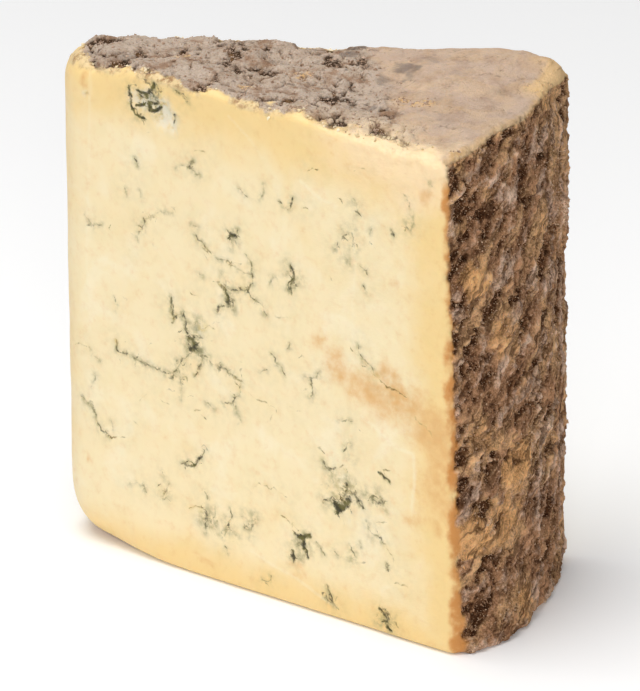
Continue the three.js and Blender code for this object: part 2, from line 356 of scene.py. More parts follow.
# Patches of the rind and the crust that stand out: a name, a centre in pixels, a radius in mm, and how
# dark (+) or tan (-) it is
PATCHES = (
    ("crevice", (383, 109), 1.6, 0.95),
    ("crevice's left", (371, 107), 1.8, 0.8),
    ("raw patch", (400, 102), 2.6, -0.9),
    ("raw patch's right", (424, 104), 2.8, -0.9),
    ("earth by the pocket", (183, 54), 2.6, -0.8),
    ("earth in the middle", (302, 76), 2.8, -0.8),
    ("earth by the edge", (245, 86), 2.4, -0.6),
    ("rust at the edge", (292, 111), 2.0, -0.8),
    ("dark lump", (146, 70), 1.5, 0.9),
    ("second dark lump", (166, 79), 1.7, 0.9),
    ("dark back", (241, 44), 1.8, 0.8),
    ("dark far back", (352, 55), 2.0, 0.8),
    ("dark hollow", (330, 98), 2.6, 0.8),
    ("light corner", (461, 226), 3.0, -0.3),
    ("dark corner's foot", (455, 243), 2.4, 0.3),
    ("round dark spot", (453, 273), 2.2, 1.0),
    ("upper dark stroke", (523, 128), 3.0, 0.9),
    ("upper dark stroke's middle", (523, 147), 3.2, 0.9),
    ("upper dark stroke's foot", (519, 166), 3.0, 0.8),
    ("dark under the rim", (476, 172), 4.0, 0.7),
    ("dark right of it", (497, 182), 3.4, 0.6),
    ("brown end", (122, 56), 4.5, 0.45),
    ("dark hole", (482, 210), 2.6, 0.9),
    ("tan shoulder", (476, 282), 6.0, -0.8),
    ("tan corner", (457, 160), 3.0, -0.7),
    ("dark middle", (478, 388), 4.2, 0.6),
    ("dark middle's right", (540, 310), 5.0, 0.55),
    ("rust band", (474, 540), 7.0, -1.0),
    ("rust band's right", (505, 520), 7.5, -0.9),
    ("rust patch", (520, 466), 7.5, -0.9),
    ("dark round", (463, 486), 3.0, 0.9),
    ("dark in the rust", (503, 505), 3.0, 0.8),
    ("dark lower", (468, 561), 3.2, 0.8),
    ("dark lower right", (498, 572), 4.0, 0.5),
    ("dark foot", (476, 606), 4.2, 0.8),
    ("tan foot", (520, 600), 4.6, -0.7),
    ("dark far edge", (548, 500), 5.0, 0.6),
    ("dark far foot", (537, 565), 4.0, 0.6),
    ("tan upper", (489, 192), 3.0, -0.5),
    ("tan right", (543, 220), 6.0, -0.4),
    ("tan middle", (505, 335), 7.0, -0.5),
    ("tan under the middle", (485, 440), 6.0, -0.5),
    ("tan at the rim", (548, 95), 5.0, -0.7),
    ("dark slant", (497, 400), 3.6, 0.7),
)

# Grey smudges on the smooth part of the crust: a name, a centre in pixels, a radius in mm, and how dark it is
SMUDGES = (
    ("blotch", (405, 69), 4.4, 0.65),
    ("blotch's tail", (428, 60), 3.6, 0.35),
    ("left smudge", (383, 79), 3.0, 0.5),
    ("back smudge", (361, 49), 3.0, 0.7),
    ("middle smudge", (460, 74), 3.0, 0.35),
    ("front smudge", (440, 120), 4.0, 0.3),
    ("right smudge", (500, 92), 3.4, 0.3),
)

# Broad swellings (+) and dips (-) of the rind and the crust: a name, a centre in pixels, and a radius and
# a height in mm
RISES = (
    ("back plateau", (250, 50), 10.0, 1.6),
    ("dip behind the plateau", (286, 58), 7.0, -2.4),
    ("far corner's top", (532, 62), 8.0, 1.1),
    ("far corner's round", (550, 74), 6.5, 2.6),
    ("far corner's side", (561, 90), 8.0, -1.5),
    ("foot's front", (480, 640), 13.0, 1.7),
    ("foot's middle", (512, 618), 13.0, 2.0),
)

# A tuft of crumbs that stands out of the rind's far edge, in pixels
TUFT = (557, 208)

# Softboxes: the stage's setting for the power, the side's length and the place, and what they look at, in m
LIGHTS = (
    ("key", 0.9, (-0.4, -0.95, 1.0)),
    ("top", 0.7, (-0.14, -0.13, 1.1)),
    ("fill", 0.35, (0.55, -1.05, 0.5)),
)
LIT_POINT = (0.0, 0.0, 0.06)
FLOOR_REACH = 3.0

# Seeds of the random marks and crumbs
FRONT_SEED = 4
BACK_SEED = 9
RIND_SEED = 21
CRUST_SEED = 22
EDGE_SEED = 23


def linear(*levels):
    """A colour given in screen levels of 0 to 255, as the shaders want it."""
    shares = [level / 255 for level in levels]
    return tuple(s / 12.92 if s <= 0.04045 else ((s + 0.055) / 1.055) ** 2.4 for s in shares)


def colour(name, description, *levels):
    return FloatVectorProperty(
        name=name, description=description, subtype="COLOR", size=3, min=0.0, max=1.0, default=linear(*levels)
    )


def size(name, description, millimetres):
    return FloatProperty(
        name=name, description=description, default=millimetres * MM, min=0.0, precision=5, unit="LENGTH"
    )


def share(name, description, default):
    return FloatProperty(
        name=name, description=description, default=default, min=0.0, max=1.0, subtype="FACTOR"
    )


def angle(name, description, degrees):
    return FloatProperty(name=name, description=description, default=math.radians(degrees), subtype="ANGLE")


def watts(name, description, default):
    return FloatProperty(name=name, description=description, default=default, min=0.0, unit="POWER")


def how_many(name, description, default):
    return IntProperty(name=name, description=description, default=default, min=0)


class CheesePaste(PropertyGroup):
    """The cut faces."""

    cream: colour("Cream", "Paste in the middle of the wedge", 245, 227, 185)
    yellow: colour("Yellow", "Riper paste towards the outside", 242, 210, 145)
    amber: colour("Amber", "Paste right under the rind", 206, 141, 72)
    pale: colour("Pale curd", "Lighter curds in the paste", 248, 235, 202)
    vein: colour("Vein", "Blue-black mould in the cracks", 46, 44, 22)
    olive: colour("Olive vein", "Young veins", 128, 102, 30)
    murk: colour("Murk", "Greener parts of the mould", 98, 92, 42)
    haze: colour("Olive haze", "Bloom round young veins", 214, 190, 122)
    cloud: colour("Cloud", "Blue-grey bloom round the veins", 150, 144, 104)
    white: colour("White mould", "Mould in the pocket", 236, 230, 210)
    stain: colour("Stain", "Brown stains", 226, 177, 114)
    worn: colour("Worn", "Paste rubbed at the shoulder", 252, 224, 184)
    broken: colour("Broken edge", "Crumbled paste under the crust", 226, 200, 152)
    dirt: colour("Dirt", "Crust in the crumbled paste", 150, 108, 64)
    crack_depth: size("Crack depth", "Depth of the veins' cracks", 0.28)
    pocket_depth: size("Pocket depth", "Depth of the mould's pocket under the crust", 1.3)
    wave: size("Wave", "Unevenness that the cut left", 0.16)
    gloss: share("Roughness", "How dull the paste is", 0.46)


class CheeseRind(PropertyGroup):
    """The drum's side."""

    brown: colour("Brown", "Rind between its patches", 190, 144, 108)
    tan: colour("Tan", "Worn patches", 220, 176, 130)
    bloom: colour("Bloom", "Grey bloom", 222, 191, 168)
    # Dark and umber are the pits' own colours, and also the colours of the painted shade in the rind's low
    # relief, pits and furrows.
    dark: colour("Dark", "Pits and mould", 80, 48, 26)
    umber: colour("Umber", "Crumbs in the pits", 140, 98, 67)
    rust: colour("Rust", "Orange patches", 226, 172, 115)
    # Grain is also the colour of the painted glints on the rind.
    grain: colour("Grain", "Bright grains", 216, 182, 148)
    lumps: size("Lumps", "Height of the broad lumps", 0.75)
    streaks: size("Streaks", "Depth of the wrinkles that run up the side", 0.9)
    pits: size("Pits", "Depth of the pits", 1.25)
    roughness: size("Grain height", "Height of the fine grain", 0.42)


class CheeseCrust(PropertyGroup):
    """The drum's top."""

    grey: colour("Grey", "Weathered plateaus", 200, 181, 163)
    brown: colour("Brown", "Crust between the plateaus", 166, 136, 112)
    beige: colour("Beige", "Smooth part by the rind", 202, 176, 155)
    # Dark is also the colour of the painted shade in the crust's hollows and low relief.
    dark: colour("Dark", "Crevices", 66, 47, 31)
    rosy: colour("Rosy", "Warmer cloud on the smooth part", 213, 183, 152)
    blot: colour("Blotch", "Blue-grey blotches", 104, 98, 96)
    tan: colour("Tan", "Raw edge of the rim", 228, 192, 142)
    earth: colour("Earth", "Golden brown crumbs in the crevices", 158, 120, 80)
    plateaus: size("Plateaus", "Height of the plateaus over the crevices", 1.25)
    crumble: size("Crumble", "Height of the fine crumble", 0.28)


class CheeseCrumbs(PropertyGroup):
    """Loose grains and crumbs."""

    rind_count: how_many("Rind grains", "Grains on the rind", 9000)
    crust_count: how_many("Crust grains", "Grains on the crust", 3600)
    edge_count: how_many("Paste crumbs", "Crumbs along the crust's edge", 150)
    rind_grain: size("Rind grain", "Radius of a grain on the rind", 0.13)
    crust_grain: size("Crust grain", "Radius of a grain on the crust", 0.17)
    edge_crumb: size("Paste crumb", "Radius of a crumb of paste", 0.26)


class CheeseStage(PropertyGroup):
    """Floor, light and camera."""

    floor: colour("Floor", "Pale floor", 254, 254, 254)
    azimuth: angle("Azimuth", "Camera's bearing", 25.86)
    elevation: angle("Elevation", "Camera's height angle", 22.83)
    distance: size("Distance", "From the camera to the point that it looks at", 1500.0)
    lens: FloatProperty(name="Lens", description="Focal length", default=364.6, min=1.0, unit="CAMERA")
    key: watts("Key", "Power of the soft light at the left", 2.5)
    top: watts("Top", "Power of the soft light overhead", 8.8)
    fill: watts("Fill", "Power of the light that grazes the rind", 3.8)
    glow: share("Glow", "Light of the floor itself, lit from behind", 0.05)
    sky: share("Sky", "Strength of the light from all round", 0.26)


# Noise and shares: a seed only moves the noise, so that two noises of one width differ

FADE = 0.9  # how fast the finer layers of noise get weaker
CROWDING = 2.1  # how much finer each layer is
CREST = 2.2  # height of the highest crests


def each(measure, points):
    """A measure of every point."""
    return np.fromiter((measure(p) for p in points), float, len(points))


def bumps(points, width, octaves=3, seed=0.0):
    """Layered noise, about -1 to 1, with bumps of a width in mm."""
    return each(lambda p: noise.fractal(p, FADE, CROWDING, octaves), (points / width + seed).tolist())


def ridges(points, width, octaves=3, seed=0.0):
    """Sharp crests, about 0 to 1."""
    def crest(place):
        return noise.ridged_multi_fractal(place, FADE, CROWDING, octaves, 1.0, 2.0)

    return np.clip(each(crest, (points / width + seed).tolist()) / CREST, 0, 1)


def cells(points, width, seed=0.0):
    """Distances to the nearest and the second nearest of scattered spots, in widths."""
    found = np.array([noise.voronoi(p)[0][:2] for p in (points / width + seed).tolist()])
    return found[:, 0], found[:, 1]


def step(low, high, value):
    """0 below low, 1 above high, smooth between."""
    part = np.clip((value - low) / (high - low), 0, 1)
    return part * part * (3 - 2 * part)


# Where a point of the wedge is

def plan(points):
    """Place from the nose's centre, and distance along each cut face."""
    x, y = points[:, 0] - NOSE_X, points[:, 1]
    along_front = x * math.cos(HALF_ANGLE) - y * math.sin(HALF_ANGLE)
    along_back = x * math.cos(HALF_ANGLE) + y * math.sin(HALF_ANGLE)
    return x, y, along_front, along_back


def face_place(points):
    """Distance along the cut face from the end of the nose's rounding, and whether it is the front one."""
    x, y, along_front, along_back = plan(points)
    front = y < 0
    along = np.where(front, along_front, along_back)
    bearing = np.arctan2(np.abs(y), x)
    round_nose = -NOSE_RADIUS * (bearing - math.pi / 2 - HALF_ANGLE)
    return np.where(along < 0, np.maximum(round_nose, -NOSE_ARC), along), front


def under_cut(points):
    """Distance from the nearest cut face or the nose to points inside the wedge."""
    x, y, along_front, along_back = plan(points)
    along = np.where(y < 0, along_front, along_back)
    flat = NOSE_RADIUS + x * math.sin(HALF_ANGLE) - np.abs(y) * math.cos(HALF_ANGLE)
    return np.where(along < 0, NOSE_RADIUS - np.hypot(x, y), flat)


def through(values, share):
    """A smooth curve through three values, at 0, a half and 1."""
    first, middle, last = values
    pull = 2 * middle - (first + last) / 2
    return first * (1 - share) ** 2 + 2 * pull * share * (1 - share) + last * share ** 2


def rind_arc(points):
    """Distance round the drum's side, from the middle of the rind."""
    x, y, _, _ = plan(points)
    return np.arctan2(y, x - RIND_X + DRUM_RADIUS) * DRUM_RADIUS


def under_rind(points):
    """Distance from the drum's side to points inside it, its sag included."""
    x, y, _, _ = plan(points)
    share = np.clip(0.5 + 0.5 * rind_arc(points) / DRUM_RADIUS / RIND_TURN, 0, 1)
    top, foot = through(SAG_TOP, share), through(SAG_FOOT, share)
    growth = 1 + (foot + (top - foot) * points[:, 2] / DRUM_HEIGHT) / (RIND_X - CUTS_MEET_X)
    unsagged = CUTS_MEET_X + (x - CUTS_MEET_X) / growth
    return DRUM_RADIUS - np.hypot(unsagged - (RIND_X - DRUM_RADIUS), y / growth)


class Crest:
    """Height of the crust over each point of the plan."""

    LEVEL = 0.8  # least upward part of a normal on the crust

    def __init__(self, points, normals):
        tops = points[normals[:, 2] > self.LEVEL]
        self.heights = tops[:, 2]
        self.tree = KDTree(len(tops))
        for index, (x, y, _) in enumerate(tops.tolist()):
            self.tree.insert((x, y, 0.0), index)
        self.tree.balance()

    def under(self, points):
        """How far points are under the crust."""
        nearest = [self.tree.find((x, y, 0.0))[1] for x, y, _ in points.tolist()]
        return self.heights[nearest] - points[:, 2]


class PhotoView:
    """The photograph's camera, which finds the places of marks seen in it."""

    def __init__(self, stage):
        across, down = math.cos(stage.elevation), math.sin(stage.elevation)
        self.back = np.array([math.sin(stage.azimuth) * across, -math.cos(stage.azimuth) * across, down])
        self.right = np.array([math.cos(stage.azimuth), math.sin(stage.azimuth), 0.0])
        self.up = np.cross(self.back, self.right)
        self.eye = np.array([AIM[0] + NOSE_X, *AIM[1:]]) + self.back * stage.distance / MM
        self.focal = stage.lens / SENSOR * PHOTO_HEIGHT

    def ray(self, pixel):
        """Direction from the camera to what a pixel shows."""
        across = (pixel[0] - PHOTO_WIDTH / 2) / self.focal
        rise = (PHOTO_HEIGHT / 2 - pixel[1]) / self.focal
        return self.right * across + self.up * rise - self.back

    def on_front(self, pixel):
        """Distance along the front face and height of what a pixel shows."""
        outward = np.array([-math.sin(HALF_ANGLE), -math.cos(HALF_ANGLE), 0.0])
        nose = np.array([NOSE_X, 0.0, 0.0])
        ray = self.ray(pixel)
        spot = self.eye + ray * ((NOSE_RADIUS - outward @ (self.eye - nose)) / (outward @ ray))
        return (spot[0] - NOSE_X) * math.cos(HALF_ANGLE) - spot[1] * math.sin(HALF_ANGLE), spot[2]

    def on_body(self, pixel, surface):
        """The first point of a surface that a pixel shows."""
        spot = surface.ray_cast(Vector(self.eye), Vector(self.ray(pixel)))[0]
        if spot is None:
            raise RuntimeError(f"nothing is seen at pixel {pixel}")
        return np.array(spot)


# Veins: how far a crack and its haze reach in mm, and how strong the haze of old and young cracks is

VEIN_REACH = 0.95
CLOUD_REACH = 2.1
HAZE = {"vein": 0.6, "olive": 0.35}
FAR_HAZE = 0.24
STAMPS = 7  # round marks that make one cloud or stain
TWIG = (0.4, 1.7)  # shortest and longest side crack
STRIDE = (1.5, 4.5)  # shortest and longest step of a vein on the back face


class Sheet:
    """Marks painted over a cut face, on a fine grid of its length and height."""

    STEP = 0.15
    FAR = 9.0  # stands for no crack near
    MARGIN = 4.0
    KINDS = ("vein", "heft", "across", "olive", "blot", "cloud", "white", "stain", "crease")

    def __init__(self):
        self.left = -NOSE_ARC - 1
        extent = HIGH[2], FACE_LENGTH - self.left
        self.shape = tuple(int((length + self.MARGIN) / self.STEP) for length in extent)
        self.marks = {kind: np.zeros(self.shape) for kind in self.KINDS}
        self.marks["across"] += self.FAR

    def window(self, along, height, reach):
        """The part of the grid round a place, and where its cells are along the face and up it."""
        column, row, far = (along - self.left) / self.STEP, height / self.STEP, reach / self.STEP
        rows = slice(max(int(row - far), 0), min(max(int(row + far) + 2, 0), self.shape[0]))
        columns = slice(max(int(column - far), 0), min(max(int(column + far) + 2, 0), self.shape[1]))
        up, across = np.ogrid[rows, columns]
        return (rows, columns), across * self.STEP + self.left, up * self.STEP

    def stamp(self, kind, along, height, radius, strength, power=1.0):
        """A round mark that is strongest in its middle."""
        part, across, up = self.window(along, height, radius)
        far = np.hypot(across - along, up - height) / radius
        patch = self.marks[kind][part]
        np.maximum(patch, strength * np.clip(1 - far, 0, 1) ** power, out=patch)

    def trace(self, start, end, heft):
        """A straight piece of a crack: how near it is, how dark, and how far on which side."""
        run, middle = end - start, (start + end) / 2
        length = np.hypot(*run)
        part, across, up = self.window(*middle, VEIN_REACH + length / 2)
        share = np.clip(((across - start[0]) * run[0] + (up - start[1]) * run[1]) / length ** 2, 0, 1)
        off = across - start[0] - share * run[0], up - start[1] - share * run[1]
        far = np.hypot(*off)
        side = np.where(run[0] * off[1] < run[1] * off[0], -1, 1)
        nearer = far < np.abs(self.marks["across"][part])
        found = {
            "across": side * far,
            "heft": np.full_like(far, heft),
            "vein": np.clip(1 - far / VEIN_REACH, 0, 1),
        }
        for kind, values in found.items():
            self.marks[kind][part][nearer] = values[nearer]

    def read(self, kind, along, height):
        """A mark's values at places of the face, smoothed over the grid."""
        column = np.clip((along - self.left) / self.STEP, 0, self.shape[1] - 1.001)
        row = np.clip(height / self.STEP, 0, self.shape[0] - 1.001)
        x, y = column.astype(int), row.astype(int)
        right, up = column - x, row - y
        marks = self.marks[kind]
        lower = marks[y, x] * (1 - right) + marks[y, x + 1] * right
        upper = marks[y + 1, x] * (1 - right) + marks[y + 1, x + 1] * right
        return lower * (1 - up) + upper * up


def toward(turn):
    """A step of length 1 in a direction."""
    return np.array([math.cos(turn), math.sin(turn)])


def wander(points, stray, rng, longest=0.3):
    """A line through points, broken into short steps that stray like a crack."""
    line = np.array(points, float)
    while np.linalg.norm(np.diff(line, axis=0), axis=1).max() > longest:
        along = np.diff(line, axis=0)
        middles = (line[1:] + line[:-1]) / 2
        middles += np.stack([-along[:, 1], along[:, 0]], 1) * rng.normal(0, stray, (len(along), 1))
        both = np.empty((len(line) + len(middles), 2))
        both[0::2], both[1::2] = line, middles
        line = both
    return line


def draw_crack(sheet, points, heft, rng, stray=0.12):
    """A thin crack that swells and thins; gives back its course."""
    line = wander(points, stray, rng, 0.7)
    swell = np.interp(np.arange(len(line)), np.linspace(0, len(line), 7), rng.uniform(0.8, 1.1, 7))
    for start, end, part in zip(line, line[1:], swell):
        sheet.trace(start, end, heft * part)
    return line


def draw_vein(sheet, kind, points, weight, rng):
    """A crack with its haze, and the yellow of young mould."""
    line = draw_crack(sheet, points, weight, rng)
    for along, height in line[::2]:
        reach = CLOUD_REACH * rng.uniform(0.6, 1.3)
        sheet.stamp("cloud", along, height, reach, HAZE[kind] * weight, 1.3)
        sheet.stamp("cloud", along, height, 2.6 * reach, FAR_HAZE * weight, 0.8)
        if kind == "olive":
            sheet.stamp("olive", along, height, 1.6 * VEIN_REACH, 1.0, 0.5)
    return line


def draw_scribble(sheet, centre, spread, heft, rng):
    """A short crack at random by a place."""
    start = np.array(centre) + rng.normal(0, spread, 2)
    turn = rng.uniform(0, 2 * math.pi)
    end = start + rng.uniform(*TWIG) * toward(turn)
    draw_crack(sheet, [start, end], heft, rng, 0.3)


def draw_twigs(sheet, line, weight, rng, often):
    """Short side cracks along a vein, and faint young specks farther from it."""
    for spot in line[rng.random(len(line)) < often]:
        draw_scribble(sheet, spot, 0.1, weight * rng.uniform(0.75, 1.0), rng)
    for spot in line[rng.random(len(line)) < 0.5 * often]:
        place = spot + rng.normal(0, 3.0, 2)
        draw_scribble(sheet, place, 0.1, rng.uniform(0.6, 0.75), rng)
        sheet.stamp("olive", *place, 2.0, rng.uniform(0, 1), 0.5)


def draw_cloud(sheet, centre, radius, strength, rng):
    """Grey bloom with a tangle of fine cracks in it."""
    for _ in range(STAMPS):
        spot = centre + rng.normal(0, 0.4 * radius, 2)
        sheet.stamp("cloud", *spot, radius * rng.uniform(0.7, 1.4), strength * rng.uniform(0.6, 1.0), 1.2)
    for _ in range(int(0.9 * strength ** 2 * radius ** 2)):
        draw_scribble(sheet, centre, 0.34 * radius, (0.74 + 0.32 * strength) * rng.uniform(0.8, 1.0), rng)
    for _ in range(int(2.2 * strength * radius ** 1.5)):
        spot = centre + rng.normal(0, 0.42 * radius, 2)
        sheet.stamp("blot", *spot, rng.uniform(0.4, 0.9), strength * rng.uniform(0.45, 0.95), 0.7)


def draw_blot(sheet, points, radius, strength, rng):
    """A thick stroke of mould."""
    for along, height in wander(points, 0.1, rng):
        sheet.stamp("blot", along, height, 1.35 * radius * rng.uniform(0.7, 1.2), strength, 0.6)


def front_sheet(view, rng):
    """The front face's marks, where the photograph shows them."""
    sheet = Sheet()
    for _, weight, pixels in DARK_VEINS:
        line = draw_vein(sheet, "vein", [view.on_front(p) for p in pixels], weight, rng)
        draw_twigs(sheet, line, weight, rng, 0.12 * weight ** 2)
    for _, weight, pixels in OLIVE_VEINS:
        draw_vein(sheet, "olive", [view.on_front(p) for p in pixels], weight, rng)
    for _, pixel, radius, strength in MOULD_CLOUDS:
        draw_cloud(sheet, np.array(view.on_front(pixel)), radius, strength, rng)
    for _, strength, radius, pixels in BLOTS:
        draw_blot(sheet, [view.on_front(p) for p in pixels], radius, strength, rng)
    for kind, marks in (("white", WHITE_MOULD), ("stain", STAINS)):
        for _, pixel, radius, strength in marks:
            centre = np.array(view.on_front(pixel))
            for _ in range(STAMPS):
                spot = centre + rng.normal(0, 0.35 * radius, 2)
                part = rng.uniform(0.5, 1.0)
                sheet.stamp(kind, *spot, 1.4 * radius * part, strength * part ** 0.5)
    for _, strength, pixels in CREASES:
        for along, height in wander([view.on_front(p) for p in pixels], 0.02, rng):
            sheet.stamp("crease", along, height, 0.9, strength)
    return sheet


# Where the clusters start on the back face, and how far they are spread, along it and up it
BACK_START = np.array([4.0, 8.0])
BACK_SPREAD = np.array([90.0, 98.0])
# Stains of the back face: how many, and from where to where they lie along it and up it
BACK_STAINS = 9
STAINED_ALONG = (70, 101)
STAINED_UP = (10, 105)


def back_sheet(rng, columns=5, rows=5, bare=0.2):
    """The hidden face's marks: clusters of cracks of the same kinds, spread over it."""
    sheet = Sheet()
    for column, row in itertools.product(range(columns), range(rows)):
        if rng.random() < bare:
            continue
        cell = np.array([column + rng.random(), row + rng.random()])
        centre = BACK_START + BACK_SPREAD * cell / (columns, rows)
        heading = rng.uniform(0, 2 * math.pi)
        weight = rng.uniform(0.7, 1.1)
        for _ in range(rng.integers(2, 6)):
            heading += rng.normal(0, 0.9)
            course = [centre + rng.normal(0, 2.5, 2)]
            for _ in range(rng.integers(1, 4)):
                heading += rng.normal(0, 0.7)
                course.append(course[-1] + rng.uniform(*STRIDE) * toward(heading))
            kind = "olive" if rng.random() < 0.25 else "vein"
            part = weight * rng.uniform(0.72, 1.05)
            line = draw_vein(sheet, kind, course, part, rng)
            if kind == "vein":
                draw_twigs(sheet, line, part, rng, 0.15)
        draw_cloud(sheet, centre, rng.uniform(2, 5), 0.62 * weight, rng)
        if weight > 0.95:
            draw_blot(sheet, course, 0.5, weight, rng)
    for _ in range(BACK_STAINS):
        spot = (rng.uniform(*STAINED_ALONG), rng.uniform(*STAINED_UP))
        sheet.stamp("stain", *spot, rng.uniform(1, 4), rng.uniform(0.3, 0.7), 0.8)
    return sheet


# The body's mesh: edge lengths, how softly the zones pass into each other, and heights of detail, in mm

MERGE = 1e-6  # in metres
REFINING_PASSES = 7
RIND_EDGE = 0.66
NEAR_RIND_EDGE = 0.9
CUT_EDGE = 2.6
VEIN_EDGE = 0.42
SOFT_EDGE = 0.9
BASE_EDGE = 3.0
ON_BASE = 0.3
ON_CUT = 0.6
SKIN = (1.2, 6.0)  # depths between which the edges grow
MARKED = 0.02  # least mark of a crack or a blot that needs short edges
CLOUDED = 0.12  # and least cloud that needs middling ones
COLOUR_BLEND = 0.7
RELIEF_BLEND = 2.0
RUBBED_BLEND = 2.5
CREASE_HEIGHT = 0.1
DENT = 0.4
CRUMBLE = 0.6
TUFT_HEIGHT = 1.9
TUFT_CRUMBLE = 1.4
CRUST_LIMITS = (-2.2, 0.9)
CRUST_FLATTENED = (1.0, 1.0, 0.35)  # the crust's noise is drawn out downwards
# How far the paste reaches round the rind's edge, at heights over the floor
WRAP_HEIGHTS = (0, 12, 30, 70, 95)
WRAP = (2.8, 2.2, 1.7, 1.4, 0.4)
# Where each mark passes from none to full: by depth under a surface (IN), along the cut face from the nose
# (ALONG), across the wedge from front to back (ACROSS) or up it (UP)
FACE_IN = (1.6, 0.4)
NEAR_TOP_IN = (8, 3)
CLEAR_OF_RIND_IN = (0.5, 6)
RAGGED_ALONG = (6, -10)
FRONT_ACROSS = (4, -4)
RUBBED_ALONG = (50, 84)
RUBBED_IN = (2, 6)
CRUMBLY_IN = (2.8, 0.3)
UNBROKEN_ALONG = (44, 62)
WORN_IN = (16, 1)
WORN_ALONG = (44, 80)
SHOULDER_IN = (18, 1)
SHOULDER_ALONG = (50, 88)
POCKET_ALONG = (40, 20)
POCKET_UP = (90, 100)
RIM_IN = (9.0, 2.0)
RIM_ACROSS = (4, 15)
BORDER_IN = (4.4, 0.4)
RIPE_IN = (17, 1)
RIPE_ALONG = (0, -14)
EDGE_IN = (2.0, 0.0)
EDGE_UNDER_TOP = (1, 9)
BRINK_ACROSS = (2, 20)
SMOOTH_ALONG = (56, 74)
TUFT_REACH = (6, 1.5)
BASE_UP = (0.0, 0.8)
# Wrinkles of the rind: how much longer than wide they are, and their slant, which is steep on the far side
FLOW_STRETCH = 2.5
SLANT = 42.0  # in degrees
STEEP_SLANT = 84.0
STEEP_FROM = 11.0  # in mm round the drum
# The unwrapped sheets' scale, and where each starts
UV_SHEET = 256.0
UV_STARTS = {"front": (18, 2), "back": (145, 2), "top": (140, 162), "rind": (36, 130), "base": (140, 224)}


def rounded_copy(node):
    """A bmesh of the CAD solid, merged, as quads, rounded by one subdivision."""
    bm = bmesh.new()
    bm.from_mesh(node.data)
    bmesh.ops.remove_doubles(bm, verts=bm.verts[:], dist=MERGE)
    bmesh.ops.join_triangles(
        bm, faces=bm.faces[:], angle_face_threshold=math.pi, angle_shape_threshold=math.pi
    )
    blank_mesh = bpy.data.meshes.new("wedge_blank")
    bm.to_mesh(blank_mesh)
    blank = bpy.data.objects.new("wedge_blank", blank_mesh)
    bpy.context.scene.collection.objects.link(blank)
    rounding = blank.modifiers.new("Rounding", "SUBSURF")
    rounding.levels = rounding.render_levels = 1
    bm.clear()
    bm.from_object(blank, bpy.context.evaluated_depsgraph_get())
    bpy.data.objects.remove(blank)
    bpy.data.meshes.remove(blank_mesh)
    bmesh.ops.triangulate(bm, faces=bm.faces[:])
    return bm


def refine(bm, wanted):
    """Splits every edge that is longer than wanted at its middle, until none is or the passes end."""
    for _ in range(REFINING_PASSES):
        bm.verts.index_update()
        places = np.array([v.co[:] for v in bm.verts]) / MM
        ends = np.array([(e.verts[0].index, e.verts[1].index) for e in bm.edges])
        first, second = places[ends[:, 0]], places[ends[:, 1]]
        long = np.linalg.norm(first - second, axis=1) > wanted((first + second) / 2)
        if not long.any():
            return
        edges = list(itertools.compress(bm.edges, long))
        bmesh.ops.subdivide_edges(bm, edges=edges, cuts=1, use_single_edge=True)
        bmesh.ops.triangulate(bm, faces=bm.faces[:])


def mesh_points(mesh):
    """Vertex places in mm and vertex normals."""
    places = np.empty(len(mesh.vertices) * 3)
    normals = np.empty(len(mesh.vertices) * 3)
    mesh.vertices.foreach_get("co", places)
    mesh.vertices.foreach_get("normal", normals)
    return places.reshape(-1, 3) / MM, normals.reshape(-1, 3)


class Zones:
    """How far each point is from the wedge's surfaces, and how much it belongs to each of them."""

    def __init__(self, points, crest):
        self.cut = under_cut(points)
        self.rind = under_rind(points)
        self.top = crest.under(points)
        self.base = points[:, 2]

    def shares(self, points, soft):
        """Shares of the cut faces, the crust, the rind and the foot, with soft borders."""
        along, front = face_place(points)
        near_top = step(*NEAR_TOP_IN, self.top)
        rubbed = np.where(front, RUBBED_BLEND * step(*RUBBED_ALONG, along), 0.0)
        ragged = 2.4 * bumps(points, 7.0, 5, 7.3) + 1.1 * bumps(points, 2.4, 4, 7.9)
        crumbled = 0.8 + ragged + 2.5 * step(*RAGGED_ALONG, along) + rubbed
        crumbled = crumbled * near_top * step(*CLEAR_OF_RIND_IN, self.rind)
        wrap = np.interp(points[:, 2], WRAP_HEIGHTS, WRAP) + 1.1 * bumps(points, 3.0, 5, 9.1)
        cut = self.cut - wrap - crumbled * step(*FRONT_ACROSS, points[:, 1])
        rind = self.rind + 0.5 * bumps(points, 4.0, 4, 8.1)
        near = np.stack([cut, self.top, rind, self.base + 0.4])
        blend = soft + rubbed * near_top * step(*RUBBED_IN, self.rind)
        found = []
        for index in range(len(near)):
            others = np.delete(near, index, 0).min(0)
            found.append(step(-blend, blend, others - near[index]))
        return dict(zip(("cut", "crust", "rind", "foot"), found))


def wanted_edges(crest, sheets):
    """The edge length, in mm, that the body's detail needs at a point."""

    def wanted(points):
        zones = Zones(points, crest)
        outside = np.minimum(zones.top, zones.rind)
        edge = np.where(zones.base < ON_BASE, BASE_EDGE, CUT_EDGE)
        along, front = face_place(points)
        for sheet, here in zip(sheets, (front, ~front)):
            vein = sheet.read("vein", along, points[:, 2])
            soft = sum(sheet.read(kind, along, points[:, 2]) for kind in ("cloud", "white", "crease"))
            blot = sheet.read("blot", along, points[:, 2])
            near = np.where(soft > CLOUDED, SOFT_EDGE, CUT_EDGE)
            near = np.where((vein > MARKED) | (blot > MARKED), VEIN_EDGE, near)
            on_face = here & (zones.cut < ON_CUT)
            edge = np.where(on_face, np.minimum(edge, near), edge)
        deeper = np.interp(outside, SKIN, [NEAR_RIND_EDGE, CUT_EDGE])
        rough = np.where(outside < SKIN[0], RIND_EDGE, deeper)
        return np.where(zones.base < ON_BASE, edge, np.minimum(edge, rough))

    return wanted


